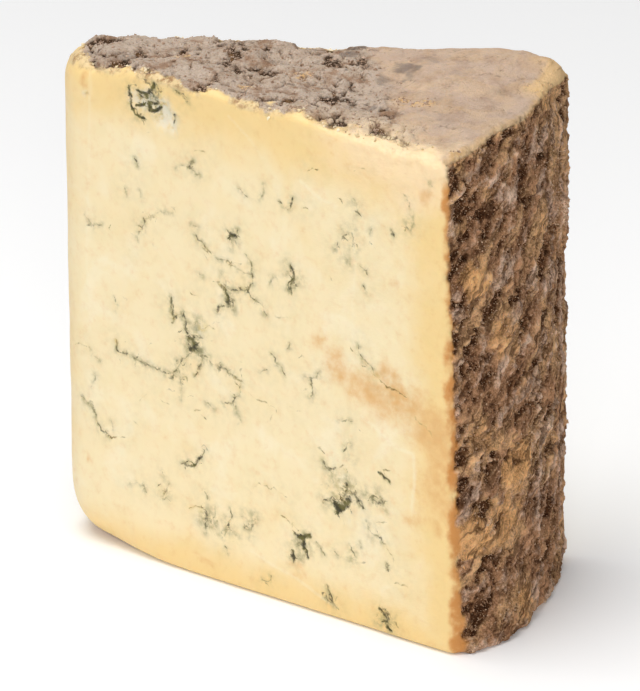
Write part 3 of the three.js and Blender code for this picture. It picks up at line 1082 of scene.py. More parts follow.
def rind_flow(points):
    """Place on the rind along and across the wrinkles that climb it aslant, and upright at its far side."""
    arc = rind_arc(points)
    upright = arc + 7 * bumps(points, 9.0, 3, 15.0) > STEEP_FROM
    lean = np.radians(np.where(upright, STEEP_SLANT, SLANT))
    along = arc * np.cos(lean) + points[:, 2] * np.sin(lean)
    across = points[:, 2] * np.cos(lean) - arc * np.sin(lean)
    stray = [1.1 * bumps(points, 5.0, 3, seed) for seed in (17.0, 19.0)]
    stretch = np.where(upright, 2.0, 1.0) * FLOW_STRETCH
    return np.stack([along / stretch + stray[0], across + stray[1], np.zeros_like(arc)], 1)


def rind_relief(points, flow, rind, patch):
    """Height of the rind's relief, and how hollow it is: lumps, wrinkles, pits and grain."""
    lumps = bumps(points, 5.6, 3, 11.0)
    wrinkles = ridges(flow, 3.4, 3, 3.0) - 0.4
    open_part = bumps(flow, 3.2, 2, 5.0) + 0.5 * bumps(points, 1.6, 3, 6.0)
    open_part = open_part + 0.4 * bumps(points, 14.0, 2, 77.0)
    hollow = step(0.2, 0.62, open_part + 0.26 * patch)
    grain = bumps(points, 1.3, 4, 31.0) + bumps(points, 2.6, 2, 29.0)
    calm = 1 - 0.6 * np.clip(-patch, 0, 1)
    fine = rind.streaks / MM * wrinkles - rind.pits / MM * hollow + rind.roughness / MM * grain
    return rind.lumps / MM * lumps - 0.3 + calm * fine, hollow


def crust_relief(points, crust, smooth, patch):
    """Height of the crust's relief, and how hollow it is: soft plateaus with crumbly hollows and cracks."""
    flat = points * np.array(CRUST_FLATTENED)
    warped = flat + 2.6 * np.stack([bumps(flat, 5.0, 3, s) for s in (2.0, 4.0, 6.0)], 1)
    broad = bumps(flat, 13.0, 3, 41.0)
    pits = step(0.18, 0.56, bumps(warped, 7.0, 5, 1.0) + 0.55 * np.clip(patch, 0, 1))
    near, second = cells(warped, 9.0, 3.0)
    cracks = step(0.11, 0.02, second - near) * step(-0.2, 0.3, bumps(flat, 7.0, 3, 45.0))
    hollow = np.maximum(pits, 0.9 * cracks) * (1 - 0.85 * smooth * (1 - 0.6 * np.clip(patch, 0, 1)))
    soft = 0.8 * broad * (1 - 0.6 * smooth) + 0.4 * (0.45 - near) * (1 - smooth)
    soft = soft + (0.38 - 0.26 * smooth) * np.tanh(1.6 * bumps(warped, 6.0, 4, 51.0))
    rough = np.clip(0.1 * (1 - smooth) + hollow + np.clip(-1.4 * patch, 0, 1), 0, 1)
    height = crust.plateaus / MM * (soft - 1.1 * hollow + 0.3 * rough * bumps(points, 1.7, 3, 55.0))
    height = np.clip(height, *CRUST_LIMITS)
    return height + crust.crumble / MM * rough * bumps(points, 0.9, 3, 61.0), hollow


def smooth_top(points):
    """Share of the crust that is rubbed smooth, by the rind."""
    x, y, _, _ = plan(points)
    return step(*SMOOTH_ALONG, x + 0.78 * y + 7 * bumps(points, 9.0, 3, 71.0))


def cut_relief(points, paste, marks):
    """Height of the cut faces' relief: the cut's waves, creases, the veins' cracks and the mould's pocket."""
    along, front = face_place(points)
    crack = step(0.5, 0.95, marks["vein"]) * step(0.6, 0.95, marks["heft"])
    pocket = step(0.3, 0.9, marks["white"]) * front * step(*POCKET_ALONG, along)
    pocket = pocket * step(*POCKET_UP, points[:, 2])
    height = paste.wave / MM * bumps(points, 17.0, 3, 81.0) + CREASE_HEIGHT * marks["crease"]
    return height - paste.crack_depth / MM * crack - paste.pocket_depth / MM * pocket


def painted_marks(points, zones, sheets):
    """The sheets' marks at points of the cut faces."""
    along, front = face_place(points)
    on_cut = step(*FACE_IN, zones.cut)
    marks = {}
    for kind in Sheet.KINDS:
        read = [sheet.read(kind, along, points[:, 2]) for sheet in sheets]
        marks[kind] = np.where(front, *read) * (1.0 if kind == "across" else on_cut)
    return marks


def patch_marks(points, far_from):
    """Dark (+) and tan (-) patches of the rind and the crust, and the crust's smudges."""
    ragged = bumps(points, 2.6, 4, 33.0)
    patch, smudge = np.zeros((2, len(points)))
    for _, pixel, radius, strength in PATCHES:
        far = far_from(pixel) / radius + ragged * (0.9 if strength > 0 else 0.5)
        mark = strength * step(1.15, 0.35, far)
        patch = np.where(np.abs(mark) > np.abs(patch), mark, patch)
    for _, pixel, radius, strength in SMUDGES:
        smudge = np.maximum(smudge, strength * step(1.3, 0.0, far_from(pixel) / radius + ragged))
    return patch, smudge


def wear_marks(points, zones):
    """Where the paste crumbles under the crust, and where the crust and the shoulder are rubbed."""
    along, front = face_place(points)
    crumbly = step(*CRUMBLY_IN, zones.top) * (1 - 0.9 * step(*UNBROKEN_ALONG, along) * front)
    crumbly = crumbly * step(-0.4, 0.2, bumps(points, 9.0, 3, 95.0))
    worn = 0.85 * step(*WORN_IN, zones.cut) * step(*WORN_ALONG, along) * front
    shoulder = step(*SHOULDER_IN, zones.top + 4 * bumps(points, 9.0, 3, 27.0))
    shoulder = shoulder * step(*SHOULDER_ALONG, along) * front
    return crumbly, worn, shoulder


def edge_marks(points, zones):
    """Bands along the borders of the crust, the rind and the paste."""
    along, _ = face_place(points)
    outside = np.minimum.reduce([zones.rind, 0.8 * zones.top, 1.3 * zones.base])
    across = points[:, 1]
    rim = zones.rind + 2.5 * bumps(points, 5.0, 4, 24.0)
    brink = (zones.top + 3 * bumps(points, 4.0, 4, 26.0)) / (2.5 + 7 * step(*BRINK_ACROSS, across))
    edge = zones.rind + 1.3 * bumps(points, 5.0, 4, 14.0)
    return {
        "rim": step(*RIM_IN, rim) * step(*RIM_ACROSS, across),
        "border": step(*BORDER_IN, zones.rind),
        "brink": step(1.0, 0.1, brink),
        "ripe": np.maximum(step(*RIPE_IN, outside), 0.7 * step(*RIPE_ALONG, along)),
        "edge": step(*EDGE_IN, edge) * step(*EDGE_UNDER_TOP, zones.top),
    }


def shape_body(mesh, crest, sheets, view, settings):
    """Moves the body's points to their relief and stores the marks that its finish reads."""
    paste, rind, crust = settings
    points, normals = mesh_points(mesh)
    zones = Zones(points, crest)
    shares = zones.shares(points, COLOUR_BLEND)
    soft = zones.shares(points, RELIEF_BLEND)
    surface = BVHTree.FromPolygons(points.tolist(), [p.vertices[:] for p in mesh.polygons])

    def far_from(pixel):
        """How far each point is from what a pixel of the photograph shows."""
        return np.linalg.norm(points - view.on_body(pixel, surface), axis=1)

    marks = painted_marks(points, zones, sheets)
    patch, smudge = patch_marks(points, far_from)
    crumbly, worn, shoulder = wear_marks(points, zones)
    smooth = smooth_top(points)
    flow = rind_flow(points)
    tuft = step(*TUFT_REACH, far_from(TUFT))
    dents = DENT * bumps(points, 3.6, 4, 93.0)
    on_rind, rind_hollow = rind_relief(points, flow, rind, patch)
    on_rind = on_rind + tuft * (TUFT_HEIGHT + TUFT_CRUMBLE * bumps(points, 1.3, 3, 37.0))
    on_top, crust_hollow = crust_relief(points, crust, smooth, patch)
    on_top = on_top + worn * dents
    on_cut = cut_relief(points, paste, marks) + shoulder * dents
    on_cut = on_cut + CRUMBLE * crumbly * bumps(points, 3.2, 5, 91.0)
    rise = sum(height * step(1.0, 0.1, far_from(pixel) / radius) for _, pixel, radius, height in RISES)
    relief = soft["rind"] * on_rind + soft["crust"] * on_top + soft["cut"] * on_cut
    relief = relief + rise * (soft["rind"] + soft["crust"])
    relief = relief * step(*BASE_UP, zones.base)
    placed = points + normals * relief[:, None]
    placed[:, 2] = np.maximum(placed[:, 2], 0.0)
    mesh.vertices.foreach_set("co", (placed * MM).ravel())
    mostly_rind = shares["rind"] > shares["crust"]
    stored = dict(
        marks, **shares, **edge_marks(points, zones), patch=patch, smudge=smudge, smooth=smooth, tuft=tuft,
        shoulder=shoulder, worn=worn, crumbly=crumbly, relief=np.where(mostly_rind, on_rind, on_top),
        hollow=np.where(mostly_rind, rind_hollow, crust_hollow),
    )
    for name, values in stored.items():
        store(mesh, name, values)
    held = mesh.attributes.new("flow", "FLOAT_VECTOR", "POINT")
    held.data.foreach_set("vector", (flow * MM).astype(np.float32).ravel())
    unwrap(mesh, zones, points)
    mesh.update()


def store(mesh, name, values):
    """Keeps a number for each of a mesh's points, under a name."""
    held = mesh.attributes.new(name, "FLOAT", "POINT")
    held.data.foreach_set("value", values.astype(np.float32))


def unwrap(mesh, zones, points):
    """Lays the cut faces, the rind, the top and the base side by side, at one scale."""
    corners = np.empty(len(mesh.loops), int)
    mesh.loops.foreach_get("vertex_index", corners)
    corners = corners.reshape(-1, 3)
    near = np.stack([zones.cut, zones.top, zones.rind, zones.base])
    kind = near[:, corners].mean(2).argmin(0)
    along, _ = face_place(points)
    in_front = points[corners, 1].mean(1) < 0
    x, y, z = points.T
    sheets = {
        "front": ((kind == 0) & in_front, along, z),
        "back": ((kind == 0) & ~in_front, along, z),
        "top": (kind == 1, x, y),
        "rind": (kind == 2, rind_arc(points), z),
        "base": (kind == 3, x, y),
    }
    flat = np.zeros((*corners.shape, 2))
    for name, (here, across, up) in sheets.items():
        flat[here] = np.stack([across + UV_STARTS[name][0], up + UV_STARTS[name][1]], 1)[corners[here]]
    layer = mesh.uv_layers.new(name="OFBake")
    layer.data.foreach_set("uv", (flat / UV_SHEET).ravel())


def make_body(settings, view):
    """The CAD solid's shape, with finer facets where detail needs them, and that detail on it."""
    bm = rounded_copy(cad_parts[NODE])
    blank = bpy.data.meshes.new("blank")
    bm.to_mesh(blank)
    crest = Crest(*mesh_points(blank))
    bpy.data.meshes.remove(blank)
    front = front_sheet(view, np.random.default_rng(FRONT_SEED))
    sheets = front, back_sheet(np.random.default_rng(BACK_SEED))
    refine(bm, wanted_edges(crest, sheets))
    mesh = bpy.data.meshes.new("wedge_body")
    bm.to_mesh(mesh)
    bm.free()
    shape_body(mesh, crest, sheets, view, settings)
    mesh.polygons.foreach_set("use_smooth", [True] * len(mesh.polygons))
    body = bpy.data.objects.new("wedge_body", mesh)
    bpy.context.scene.collection.objects.link(body)
    return body


# Finishes

class Finish:
    """A node material in the making."""

    MIX_INPUTS = (0, 6, 7)  # the share and the two colours
    MIX_OUTPUT = 2

    def __init__(self, name):
        self.material = bpy.data.materials.new(name)
        self.material.use_nodes = True
        self.tree = self.material.node_tree
        self.shader = self.tree.nodes["Principled BSDF"]
        self.place = self.node("ShaderNodeTexCoord").outputs["Object"]

    def node(self, kind, inputs=None, **settings):
        """A new node with its settings and what its inputs are fed."""
        made = self.tree.nodes.new(kind)
        for name, value in settings.items():
            setattr(made, name, value)
        for name, value in (inputs or {}).items():
            self.feed(made.inputs[name], value)
        return made

    def feed(self, socket, value):
        """Gives a socket a number, a colour, another node's output or the mark of a name."""
        if isinstance(value, str):
            value = self.node("ShaderNodeAttribute", attribute_name=value).outputs["Fac"]
        if isinstance(value, bpy.types.NodeSocket):
            self.tree.links.new(value, socket)
        elif socket.type == "RGBA":
            socket.default_value = (*value, 1.0)
        else:
            socket.default_value = value

    def set(self, **inputs):
        """Feeds the material's own shader."""
        for name, value in inputs.items():
            self.feed(self.shader.inputs[name.replace("_", " ")], value)

    def grain(self, width, detail=2.0, place=None, rough=0.5, warp=0.0):
        """Noise of 0 to 1 with bumps of a width in mm."""
        inputs = {
            "Vector": place or self.place, "Scale": 1 / (width * MM), "Detail": detail,
            "Roughness": rough, "Distortion": warp,
        }
        return self.node("ShaderNodeTexNoise", inputs).outputs["Fac"]

    def spots(self, width):
        """Distance from scattered spots, in widths."""
        inputs = {"Vector": self.place, "Scale": 1 / (width * MM)}
        return self.node("ShaderNodeTexVoronoi", inputs).outputs["Distance"]

    def flow(self):
        """Place on the rind along and across its wrinkles."""
        return self.node("ShaderNodeAttribute", attribute_name="flow").outputs["Vector"]

    def band(self, value, low, high, most=1.0):
        """0 below low, most above high, smooth between."""
        inputs = {"Value": value, "From Min": low, "From Max": high, "To Max": most}
        return self.node("ShaderNodeMapRange", inputs, interpolation_type="SMOOTHSTEP").outputs["Result"]

    def blotches(self, width, detail, low, high, most=1.0, **kind):
        """Noise with bumps of a width in mm, as a band."""
        return self.band(self.grain(width, detail, **kind), low, high, most)

    def math(self, operation, first, second, third=None):
        """A sum of numbers, marks or other nodes."""
        made = self.node("ShaderNodeMath", operation=operation)
        for socket, value in zip(made.inputs, (first, second, third)):
            if value is not None:
                self.feed(socket, value)
        return made.outputs["Value"]

    def times(self, first, second):
        return self.math("MULTIPLY", first, second)

    def added(self, value, part, under):
        """A part of a value on top of another one."""
        return self.math("MULTIPLY_ADD", value, part, under)

    def level(self, value):
        """A value of 0 to 1 as -0.5 to 0.5."""
        return self.math("SUBTRACT", value, 0.5)

    def shaded(self, colour, light):
        """A colour with its channels multiplied."""
        return self.blend(1.0, colour, light, "MULTIPLY")

    def blend(self, part, under, over, way="MIX"):
        """A part of one colour over another."""
        made = self.node("ShaderNodeMix", data_type="RGBA", blend_type=way)
        for index, value in zip(self.MIX_INPUTS, (part, under, over)):
            self.feed(made.inputs[index], value)
        return made.outputs[self.MIX_OUTPUT]

    def bump(self, height, distance, strength=1.0, under=None):
        """Normals of a height in mm, over other normals."""
        inputs = {"Height": height, "Distance": distance * MM, "Strength": strength}
        if under is not None:
            inputs["Normal"] = under
        return self.node("ShaderNodeBump", inputs).outputs["Normal"]


def paste_colour(finish, paste):
    """Cream paste, riper towards the outside, with its curds, stains and mould."""
    curds = finish.blotches(9, 3.0, 0.5, 0.68, 0.6, warp=0.6)
    base = finish.blend(curds, paste.cream, paste.pale)
    ripe = finish.added(finish.grain(13, 3.0, warp=0.5), 1.1, "ripe")
    base = finish.blend(finish.band(ripe, 0.4, 1.55, 0.95), base, paste.yellow)
    mottle = finish.blotches(5.0, 3.0, 0.45, 0.75, 0.1, warp=0.6)
    base = finish.blend(mottle, base, paste.haze)
    base = finish.blend(finish.band("crease", 0.1, 0.9, 0.55), base, paste.pale)
    worn = finish.added(finish.grain(4, 4.0, rough=0.6), 0.5, "shoulder")
    base = finish.blend(finish.band(worn, 0.3, 1.1, 0.75), base, paste.worn)
    base = finish.blend(finish.band("crumbly", 0.1, 0.7, 0.9), base, paste.broken)
    stain = finish.added(finish.grain(2.4, 5.0, rough=0.64), 0.7, "stain")
    base = finish.blend(finish.band(stain, 0.36, 1.2), base, paste.stain)
    dirt = finish.times("crumbly", finish.blotches(2.2, 5.0, 0.46, 0.64, 0.9, rough=0.7))
    base = finish.blend(dirt, base, paste.dirt)
    edge = finish.added(finish.grain(2.4, 4.0, rough=0.6), 0.9, "edge")
    base = finish.blend(finish.band(edge, 0.4, 1.1, 0.75), base, paste.stain)
    base = finish.blend(finish.band(edge, 0.75, 1.45), base, paste.amber)
    cloud = finish.times("cloud", finish.blotches(1.6, 4.0, 0.15, 0.75, rough=0.6))
    bloom = finish.blend("olive", paste.cloud, paste.haze)
    base = finish.blend(finish.band(cloud, 0.0, 0.62), base, bloom)
    white = finish.times("white", finish.blotches(1.2, 3.0, 0.2, 0.6))
    return finish.blend(finish.band(white, 0.05, 0.8, 0.8), base, paste.white)


def vein_colour(finish, paste, base):
    """Thin dark cracks with ragged, broken lines, olive where the mould is young."""
    offset = finish.math("ABSOLUTE", "across", 0.0)
    offset = finish.added(finish.grain(0.45, 3.0, rough=0.6), 0.36, offset)
    offset = finish.added(finish.blotches(1.3, 2.0, 0.36, 0.68), -0.26, offset)
    line = finish.times(finish.band(offset, 0.3, 0.02), finish.band("vein", 0.3, 0.6))
    dark = finish.added(finish.grain(1.5, 3.0), 0.8, "heft")
    mould = finish.blend(finish.blotches(2.0, 3.0, 0.4, 0.62), paste.vein, paste.murk)
    tint = finish.blend("olive", mould, paste.olive)
    base = finish.blend(finish.times(line, finish.band(dark, 0.85, 1.4, 0.95)), base, tint)
    blot = finish.added(finish.grain(0.9, 4.0, rough=0.66), 1.1, "blot")
    blot = finish.times(finish.band(blot, 0.95, 1.4, 0.95), finish.band("blot", 0.0, 0.25))
    return finish.blend(blot, base, mould)


def furrows(finish):
    """Distance of a point of the rind from the nearest furrow, which runs with the wrinkles: 0 in it."""
    flow = finish.flow()
    return finish.math("ABSOLUTE", finish.level(finish.grain(4.2, 3.0, flow, 0.6)), 0.0)


def rind_colour(finish, rind):
    """Brown rind with broad tan and bloomed patches, dark hollows, and fine grain in light and dark, with
    painted shade in its low relief, pits and furrows, painted light on its raised relief, and painted glints.
    """
    flow = finish.flow()
    clumps = finish.level(finish.grain(1.5, 4.0, rough=0.62))
    worn = finish.added("patch", -0.4, finish.grain(8, 2.0, flow, warp=0.4))
    worn = finish.added(clumps, 0.3, worn)
    base = finish.blend(finish.band(worn, 0.42, 0.64), rind.brown, rind.tan)
    bloom = finish.added(clumps, 0.5, finish.grain(5.5, 2.0, flow, 0.5))
    # Bloom gathers on the raised relief: partly where the rind's bloom sits, and partly a painted highlight
    # on the ridges.
    bloom = finish.added("relief", 0.15, bloom)
    base = finish.blend(finish.band(bloom, 0.46, 0.66, 0.85), base, rind.bloom)
    rust = finish.added(finish.grain(3.0, 4.0), 0.8, finish.times("patch", -1.0))
    base = finish.blend(finish.band(rust, 0.5, 1.2, 0.85), base, rind.rust)
    brink = finish.added(finish.grain(2.2, 4.0), 0.6, "brink")
    base = finish.blend(finish.band(brink, 0.5, 1.1, 0.8), base, rind.tan)
    # Painted shade and light: the hollow and relief terms make the shade value high in the rind's hollows and
    # low relief, and low on its raised relief; the patch and noise terms are the rind's own tone.
    shade = finish.added(finish.grain(1.1, 4.0, rough=0.66), 0.6, finish.grain(2.6, 1.0, flow))
    shade = finish.added("hollow", 0.25, shade)
    shade = finish.added("relief", -0.26, shade)
    shade = finish.added("patch", 0.14, shade)
    shade = finish.added(finish.grain(9, 2.0), 0.5, shade)
    # Painted light: the colour is made lighter where the shade value is low, which includes the raised
    # relief.
    base = finish.shaded(base, finish.math("ADD", finish.band(shade, 1.1, 0.75, 0.22), 1.0))
    # The pits' colour is partly the rind's own dark mould and crumbs, and partly painted shade in its hollows
    # and low relief.
    pit = finish.blend(finish.blotches(1.0, 4.0, 0.44, 0.62, 0.75, rough=0.65), rind.dark, rind.umber)
    base = finish.blend(finish.band(shade, 1.12, 1.5, 0.96), base, pit)
    # Painted shade: dark lines drawn along the furrows, in the grooves that the furrow bump cuts.
    furrow = finish.band(furrows(finish), 0.07, 0.0, 0.75)
    furrow = finish.times(furrow, finish.blotches(6, 2.0, 0.36, 0.56))
    base = finish.blend(furrow, base, rind.dark)
    # Fine grain: tiny dark specks where the shade value is high, partly the rind's own speckle and partly
    # painted shade in tiny cavities; the rest is made lighter, partly painted light on the raised parts.
    fine = finish.blotches(0.6, 4.0, 0.34, 0.68, rough=0.75)
    fine = finish.times(fine, finish.band(shade, 0.68, 1.2, 0.95))
    bright = finish.shaded(base, (1.22, 1.22, 1.22))
    base = finish.blend(fine, bright, finish.shaded(base, (0.38, 0.31, 0.25)))
    # Painted glints: small spots of grain colour where the shade value is high, partly the sugary grains'
    # lighter colour and partly painted highlights on them.
    glint = finish.times(finish.band(finish.spots(0.7), 0.28, 0.1), finish.band(shade, 1.0, 1.3, 0.4))
    return finish.blend(glint, base, rind.grain)


def crust_colour(finish, crust, paste):
    """Weathered grey plateaus with brown hollows, beige and cream where the crust is rubbed smooth, and
    painted shade in the hollows and the low relief.
    """
    base = finish.blend(finish.blotches(5, 5.0, 0.34, 0.5, rough=0.6), crust.brown, crust.grey)
    crumble = finish.grain(1.7, 5.0, rough=0.68)
    base = finish.blend(finish.band(crumble, 0.48, 0.3, 0.6), base, crust.dark)
    smooth = finish.added(finish.grain(7, 4.0), 0.5, "smooth")
    mottle = finish.blend(finish.blotches(7, 3.0, 0.4, 0.62, 0.8, warp=0.8), crust.beige, crust.rosy)
    dusk = finish.blotches(3.4, 5.0, 0.5, 0.74, 0.5, rough=0.64, warp=0.5)
    mottle = finish.blend(dusk, mottle, finish.shaded(mottle, (0.66, 0.6, 0.56)))
    base = finish.blend(finish.band(smooth, 0.6, 1.15, 0.9), base, mottle)
    worn = finish.added(finish.grain(5, 4.0), 0.9, "worn")
    base = finish.blend(finish.band(worn, 0.5, 1.35, 0.65), base, paste.worn)
    border = finish.added(finish.grain(3, 4.0), 0.8, "border")
    base = finish.blend(finish.band(border, 0.9, 1.5, 0.7), base, crust.tan)
    base = finish.blend(finish.band("rim", 0.1, 0.8, 0.9), base, crust.tan)
    raw = finish.times(finish.band("patch", -0.1, -0.7), finish.blotches(1.5, 4.0, 0.36, 0.6))
    base = finish.blend(raw, base, crust.tan)
    base = finish.blend(finish.band("patch", 0.05, 0.9, 0.5), base, crust.blot)
    base = finish.blend(finish.band("smudge", 0.0, 0.9, 0.75), base, crust.blot)
    scuff = finish.blotches(1.4, 5.0, 0.52, 0.7, 0.6, rough=0.7)
    base = finish.blend(scuff, base, finish.shaded(base, (1.2, 1.2, 1.2)))
    soot = finish.blotches(6.0, 5.0, 0.44, 0.74, 0.5, rough=0.62)
    base = finish.blend(soot, base, finish.shaded(base, (0.6, 0.5, 0.42)))
    # Dark crevices: partly the crust's own dark crevices, and partly painted shade in its hollows and low
    # relief.
    deep = finish.added("hollow", 0.5, finish.grain(1.3, 5.0, rough=0.65))
    deep = finish.added("relief", -0.14, deep)
    base = finish.blend(finish.band(deep, 0.6, 1.02, 0.94), base, crust.dark)
    earth = finish.times("hollow", finish.blotches(4.0, 4.0, 0.5, 0.66, 0.75))
    base = finish.blend(earth, base, crust.earth)
    wrinkle = finish.math("ABSOLUTE", finish.level(finish.grain(9, 3.0, warp=0.5)), 0.0)
    wrinkle = finish.times(finish.band(wrinkle, 0.012, 0.0), finish.blotches(5, 2.0, 0.54, 0.64, 0.35))
    base = finish.blend(wrinkle, base, crust.dark)
    fine = finish.blotches(0.5, 4.0, 0.4, 0.7, 0.5, rough=0.7)
    fine = finish.times(fine, finish.band("worn", 1.0, 0.3))
    fine = finish.times(fine, finish.band("smooth", 1.4, 0.0))
    return finish.blend(fine, base, finish.shaded(base, (0.5, 0.44, 0.4)))


def body_finish(settings):
    """Paste, rind and crust in one material, each where its share says."""
    paste, rind, crust = settings
    finish = Finish("blue_cheese")
    cut = vein_colour(finish, paste, paste_colour(finish, paste))
    mottle = finish.blotches(3.0, 5.0, 0.42, 0.64, rough=0.64)
    sole = finish.blend(mottle, rind.tan, rind.brown)
    base = finish.blend("foot", cut, sole)
    base = finish.blend("rind", base, rind_colour(finish, rind))
    base = finish.blend("crust", base, crust_colour(finish, crust, paste))
    rough = finish.math("ADD", "rind", "crust")
    dull = finish.added(rough, 0.4, paste.gloss)
    grit = finish.level(finish.grain(0.6, 4.0, rough=0.72))
    grit = finish.times(grit, finish.added("crust", 0.55, "rind"))
    furrow = finish.math("SUBTRACT", finish.band(furrows(finish), 0.0, 0.12), 1.0)
    normal = finish.bump(finish.times(furrow, "rind"), 0.35)
    normal = finish.bump(grit, 0.9, 0.9, normal)
    rubbed = finish.math("MAXIMUM", "shoulder", "worn")
    scuffs = finish.times(finish.level(finish.grain(1.8, 5.0, rough=0.62)), rubbed)
    normal = finish.bump(scuffs, 0.4, 1.0, normal)
    normal = finish.bump(finish.grain(1.1, 3.0), 0.03, 0.5, normal)
    finish.set(Base_Color=base, Roughness=dull, Normal=normal)
    finish.set(Subsurface_Weight=0.12, Subsurface_Radius=(1.0, 0.55, 0.25), Subsurface_Scale=0.0012)
    finish.set(Specular_IOR_Level=finish.added(rough, -0.26, 0.35))
    return finish.material


# Crumbs: how much their radii differ, and the least and greatest share of the usual radius

RADIUS_SPREAD = 0.42
RADIUS_LIMITS = (0.45, 2.6)


def crumb_shapes(rng, count=4):
    """A few irregular grains of radius 1: their points and faces."""
    shapes = []
    for _ in range(count):
        bm = bmesh.new()
        bmesh.ops.create_uvsphere(bm, u_segments=4, v_segments=2, radius=1.0)
        for vertex in bm.verts:
            vertex.co *= rng.uniform(0.68, 1.25)
        points = np.array([v.co[:] for v in bm.verts])
        faces = np.array([[v.index for v in f.verts] for f in bm.faces])
        shapes.append((points, faces))
        bm.free()
    return shapes


def scatter(name, spots, outward, radii, rng, sink=0.25):
    """One mesh of crumbs that sit in a surface, each with a random tint."""
    shapes = crumb_shapes(rng)
    points, faces, tints, start = [], [], [], 0
    for spot, normal, radius in zip(spots, outward, radii):
        shape, sides = shapes[rng.integers(len(shapes))]
        turn = np.array(Euler(rng.uniform(0, 2 * math.pi, 3)).to_matrix())
        grown = (shape * rng.uniform(0.65, 1.35, 3) * radius) @ turn.T
        points.append(spot + normal * radius * (0.5 - sink) + grown)
        faces.append(sides + start)
        tints.append(np.full(len(shape), rng.random()))
        start += len(shape)
    mesh = bpy.data.meshes.new(name)
    places = np.concatenate(points)
    places[:, 2] = np.maximum(places[:, 2], 0.0)
    mesh.from_pydata((places * MM).tolist(), [], np.concatenate(faces).tolist())
    store(mesh, "tint", np.concatenate(tints))
    mesh.update()
    piece = bpy.data.objects.new(name, mesh)
    bpy.context.scene.collection.objects.link(piece)
    return piece


def body_surface(body):
    """Centres, normals and areas of the body's faces, and each face's share of every mark."""
    mesh = body.data
    count = len(mesh.polygons)
    centres, normals, areas = np.empty(count * 3), np.empty(count * 3), np.empty(count)
    mesh.polygons.foreach_get("center", centres)
    mesh.polygons.foreach_get("normal", normals)
    mesh.polygons.foreach_get("area", areas)
    corners = np.empty(count * 3, int)
    mesh.polygons.foreach_get("vertices", corners)

    def mark(name):
        values = np.empty(len(mesh.vertices), np.float32)
        mesh.attributes[name].data.foreach_get("value", values)
        return values[corners.reshape(-1, 3)].mean(1)

    return centres.reshape(-1, 3) / MM, normals.reshape(-1, 3), areas, mark


def crumb_finish(name, light, dark, dull):
    """Crumbs between two colours, as their tints say, with darker specks."""
    finish = Finish(name)
    base = finish.blend(finish.band("tint", 0.15, 0.9), dark, light)
    speck = finish.blotches(0.4, 3.0, 0.35, 0.7, 0.35)
    base = finish.blend(speck, base, finish.shaded(base, (0.5, 0.42, 0.36)))
    finish.set(Base_Color=base, Roughness=dull, Normal=finish.bump(finish.grain(0.25, 2.0), 0.05, 0.5))
    return finish.material


def place_crumbs(name, weigh, count, radius, seed, finish):
    """Scatters crumbs over the body's faces, which are weighed by their marks."""
    rng = np.random.default_rng(seed)
    centres, normals, areas, mark = body_surface(bpy.data.objects["wedge_body"])
    chance = weigh(mark) * areas
    chosen = rng.choice(len(areas), count, p=chance / chance.sum())
    radii = radius / MM * rng.lognormal(0, RADIUS_SPREAD, count).clip(*RADIUS_LIMITS)
    piece = scatter(name, centres[chosen], normals[chosen], radii, rng)
    piece.data.materials.append(finish)
    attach(piece, "root")


# Operators

class CHEESE_OT_body(Operator):
    """Make the wedge itself, with its paste, veins, rind and crust"""

    bl_idname = "cheese.body"
    bl_label = "Wedge"

    def execute(self, context):
        scene = context.scene
        settings = scene.cheese_paste, scene.cheese_rind, scene.cheese_crust
        body = make_body(settings, PhotoView(scene.cheese_stage))
        body.data.materials.append(body_finish(settings))
        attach(body, "root")
        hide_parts(NODE)
        return {"FINISHED"}


class CHEESE_OT_rind_grains(Operator):
    """Scatter grains over the rind"""

    bl_idname = "cheese.rind_grains"
    bl_label = "Rind grains"

    def execute(self, context):
        rind, crumbs = context.scene.cheese_rind, context.scene.cheese_crumbs
        finish = crumb_finish("rind_grain", rind.grain, rind.brown, dull=0.6)
        place_crumbs("rind_grains", self.weigh, crumbs.rind_count, crumbs.rind_grain, RIND_SEED, finish)
        return {"FINISHED"}

    @staticmethod
    def weigh(mark):
        worn = np.clip(-mark("patch"), 0, 1)
        return mark("rind") ** 2 * (0.15 + mark("hollow") + 5 * mark("tuft")) * (1 - 0.8 * worn)


class CHEESE_OT_crust_grains(Operator):
    """Scatter grains over the crust, most of them in its crevices"""

    bl_idname = "cheese.crust_grains"
    bl_label = "Crust grains"

    def execute(self, context):
        crust, crumbs = context.scene.cheese_crust, context.scene.cheese_crumbs
        finish = crumb_finish("crust_grain", crust.beige, crust.brown, dull=0.85)
        place_crumbs("crust_grains", self.weigh, crumbs.crust_count, crumbs.crust_grain, CRUST_SEED, finish)
        return {"FINISHED"}

    @staticmethod
    def weigh(mark):
        raw = np.clip(-2 * mark("patch"), 0, 1) * (1 - mark("border")) * (1 - mark("rim"))
        return mark("crust") ** 2 * ((1.0 - mark("smooth")) * (0.2 + mark("hollow")) + raw)


class CHEESE_OT_paste_crumbs(Operator):
    """Scatter crumbs of paste along the crust's broken edge"""

    bl_idname = "cheese.paste_crumbs"
    bl_label = "Paste crumbs"

    def execute(self, context):
        paste, crumbs = context.scene.cheese_paste, context.scene.cheese_crumbs
        finish = crumb_finish("paste_crumb", paste.pale, paste.broken, dull=0.6)
        place_crumbs("paste_crumbs", self.weigh, crumbs.edge_count, crumbs.edge_crumb, EDGE_SEED, finish)
        return {"FINISHED"}

    @staticmethod
    def weigh(mark):
        border = mark("cut") * mark("crust")
        return np.clip(4 * border, 0, 1) * (1.02 - mark("smooth"))


def soft_light(name, power, across, place, aim):
    """A square softbox that looks at a point."""
    lamp = bpy.data.lights.new(name, "AREA")
    lamp.energy = power
    lamp.size = across
    lit = bpy.data.objects.new(name, lamp)
    lit.location = place
    lit.rotation_euler = (Vector(aim) - Vector(place)).to_track_quat("-Z", "Y").to_euler()
    bpy.context.scene.collection.objects.link(lit)


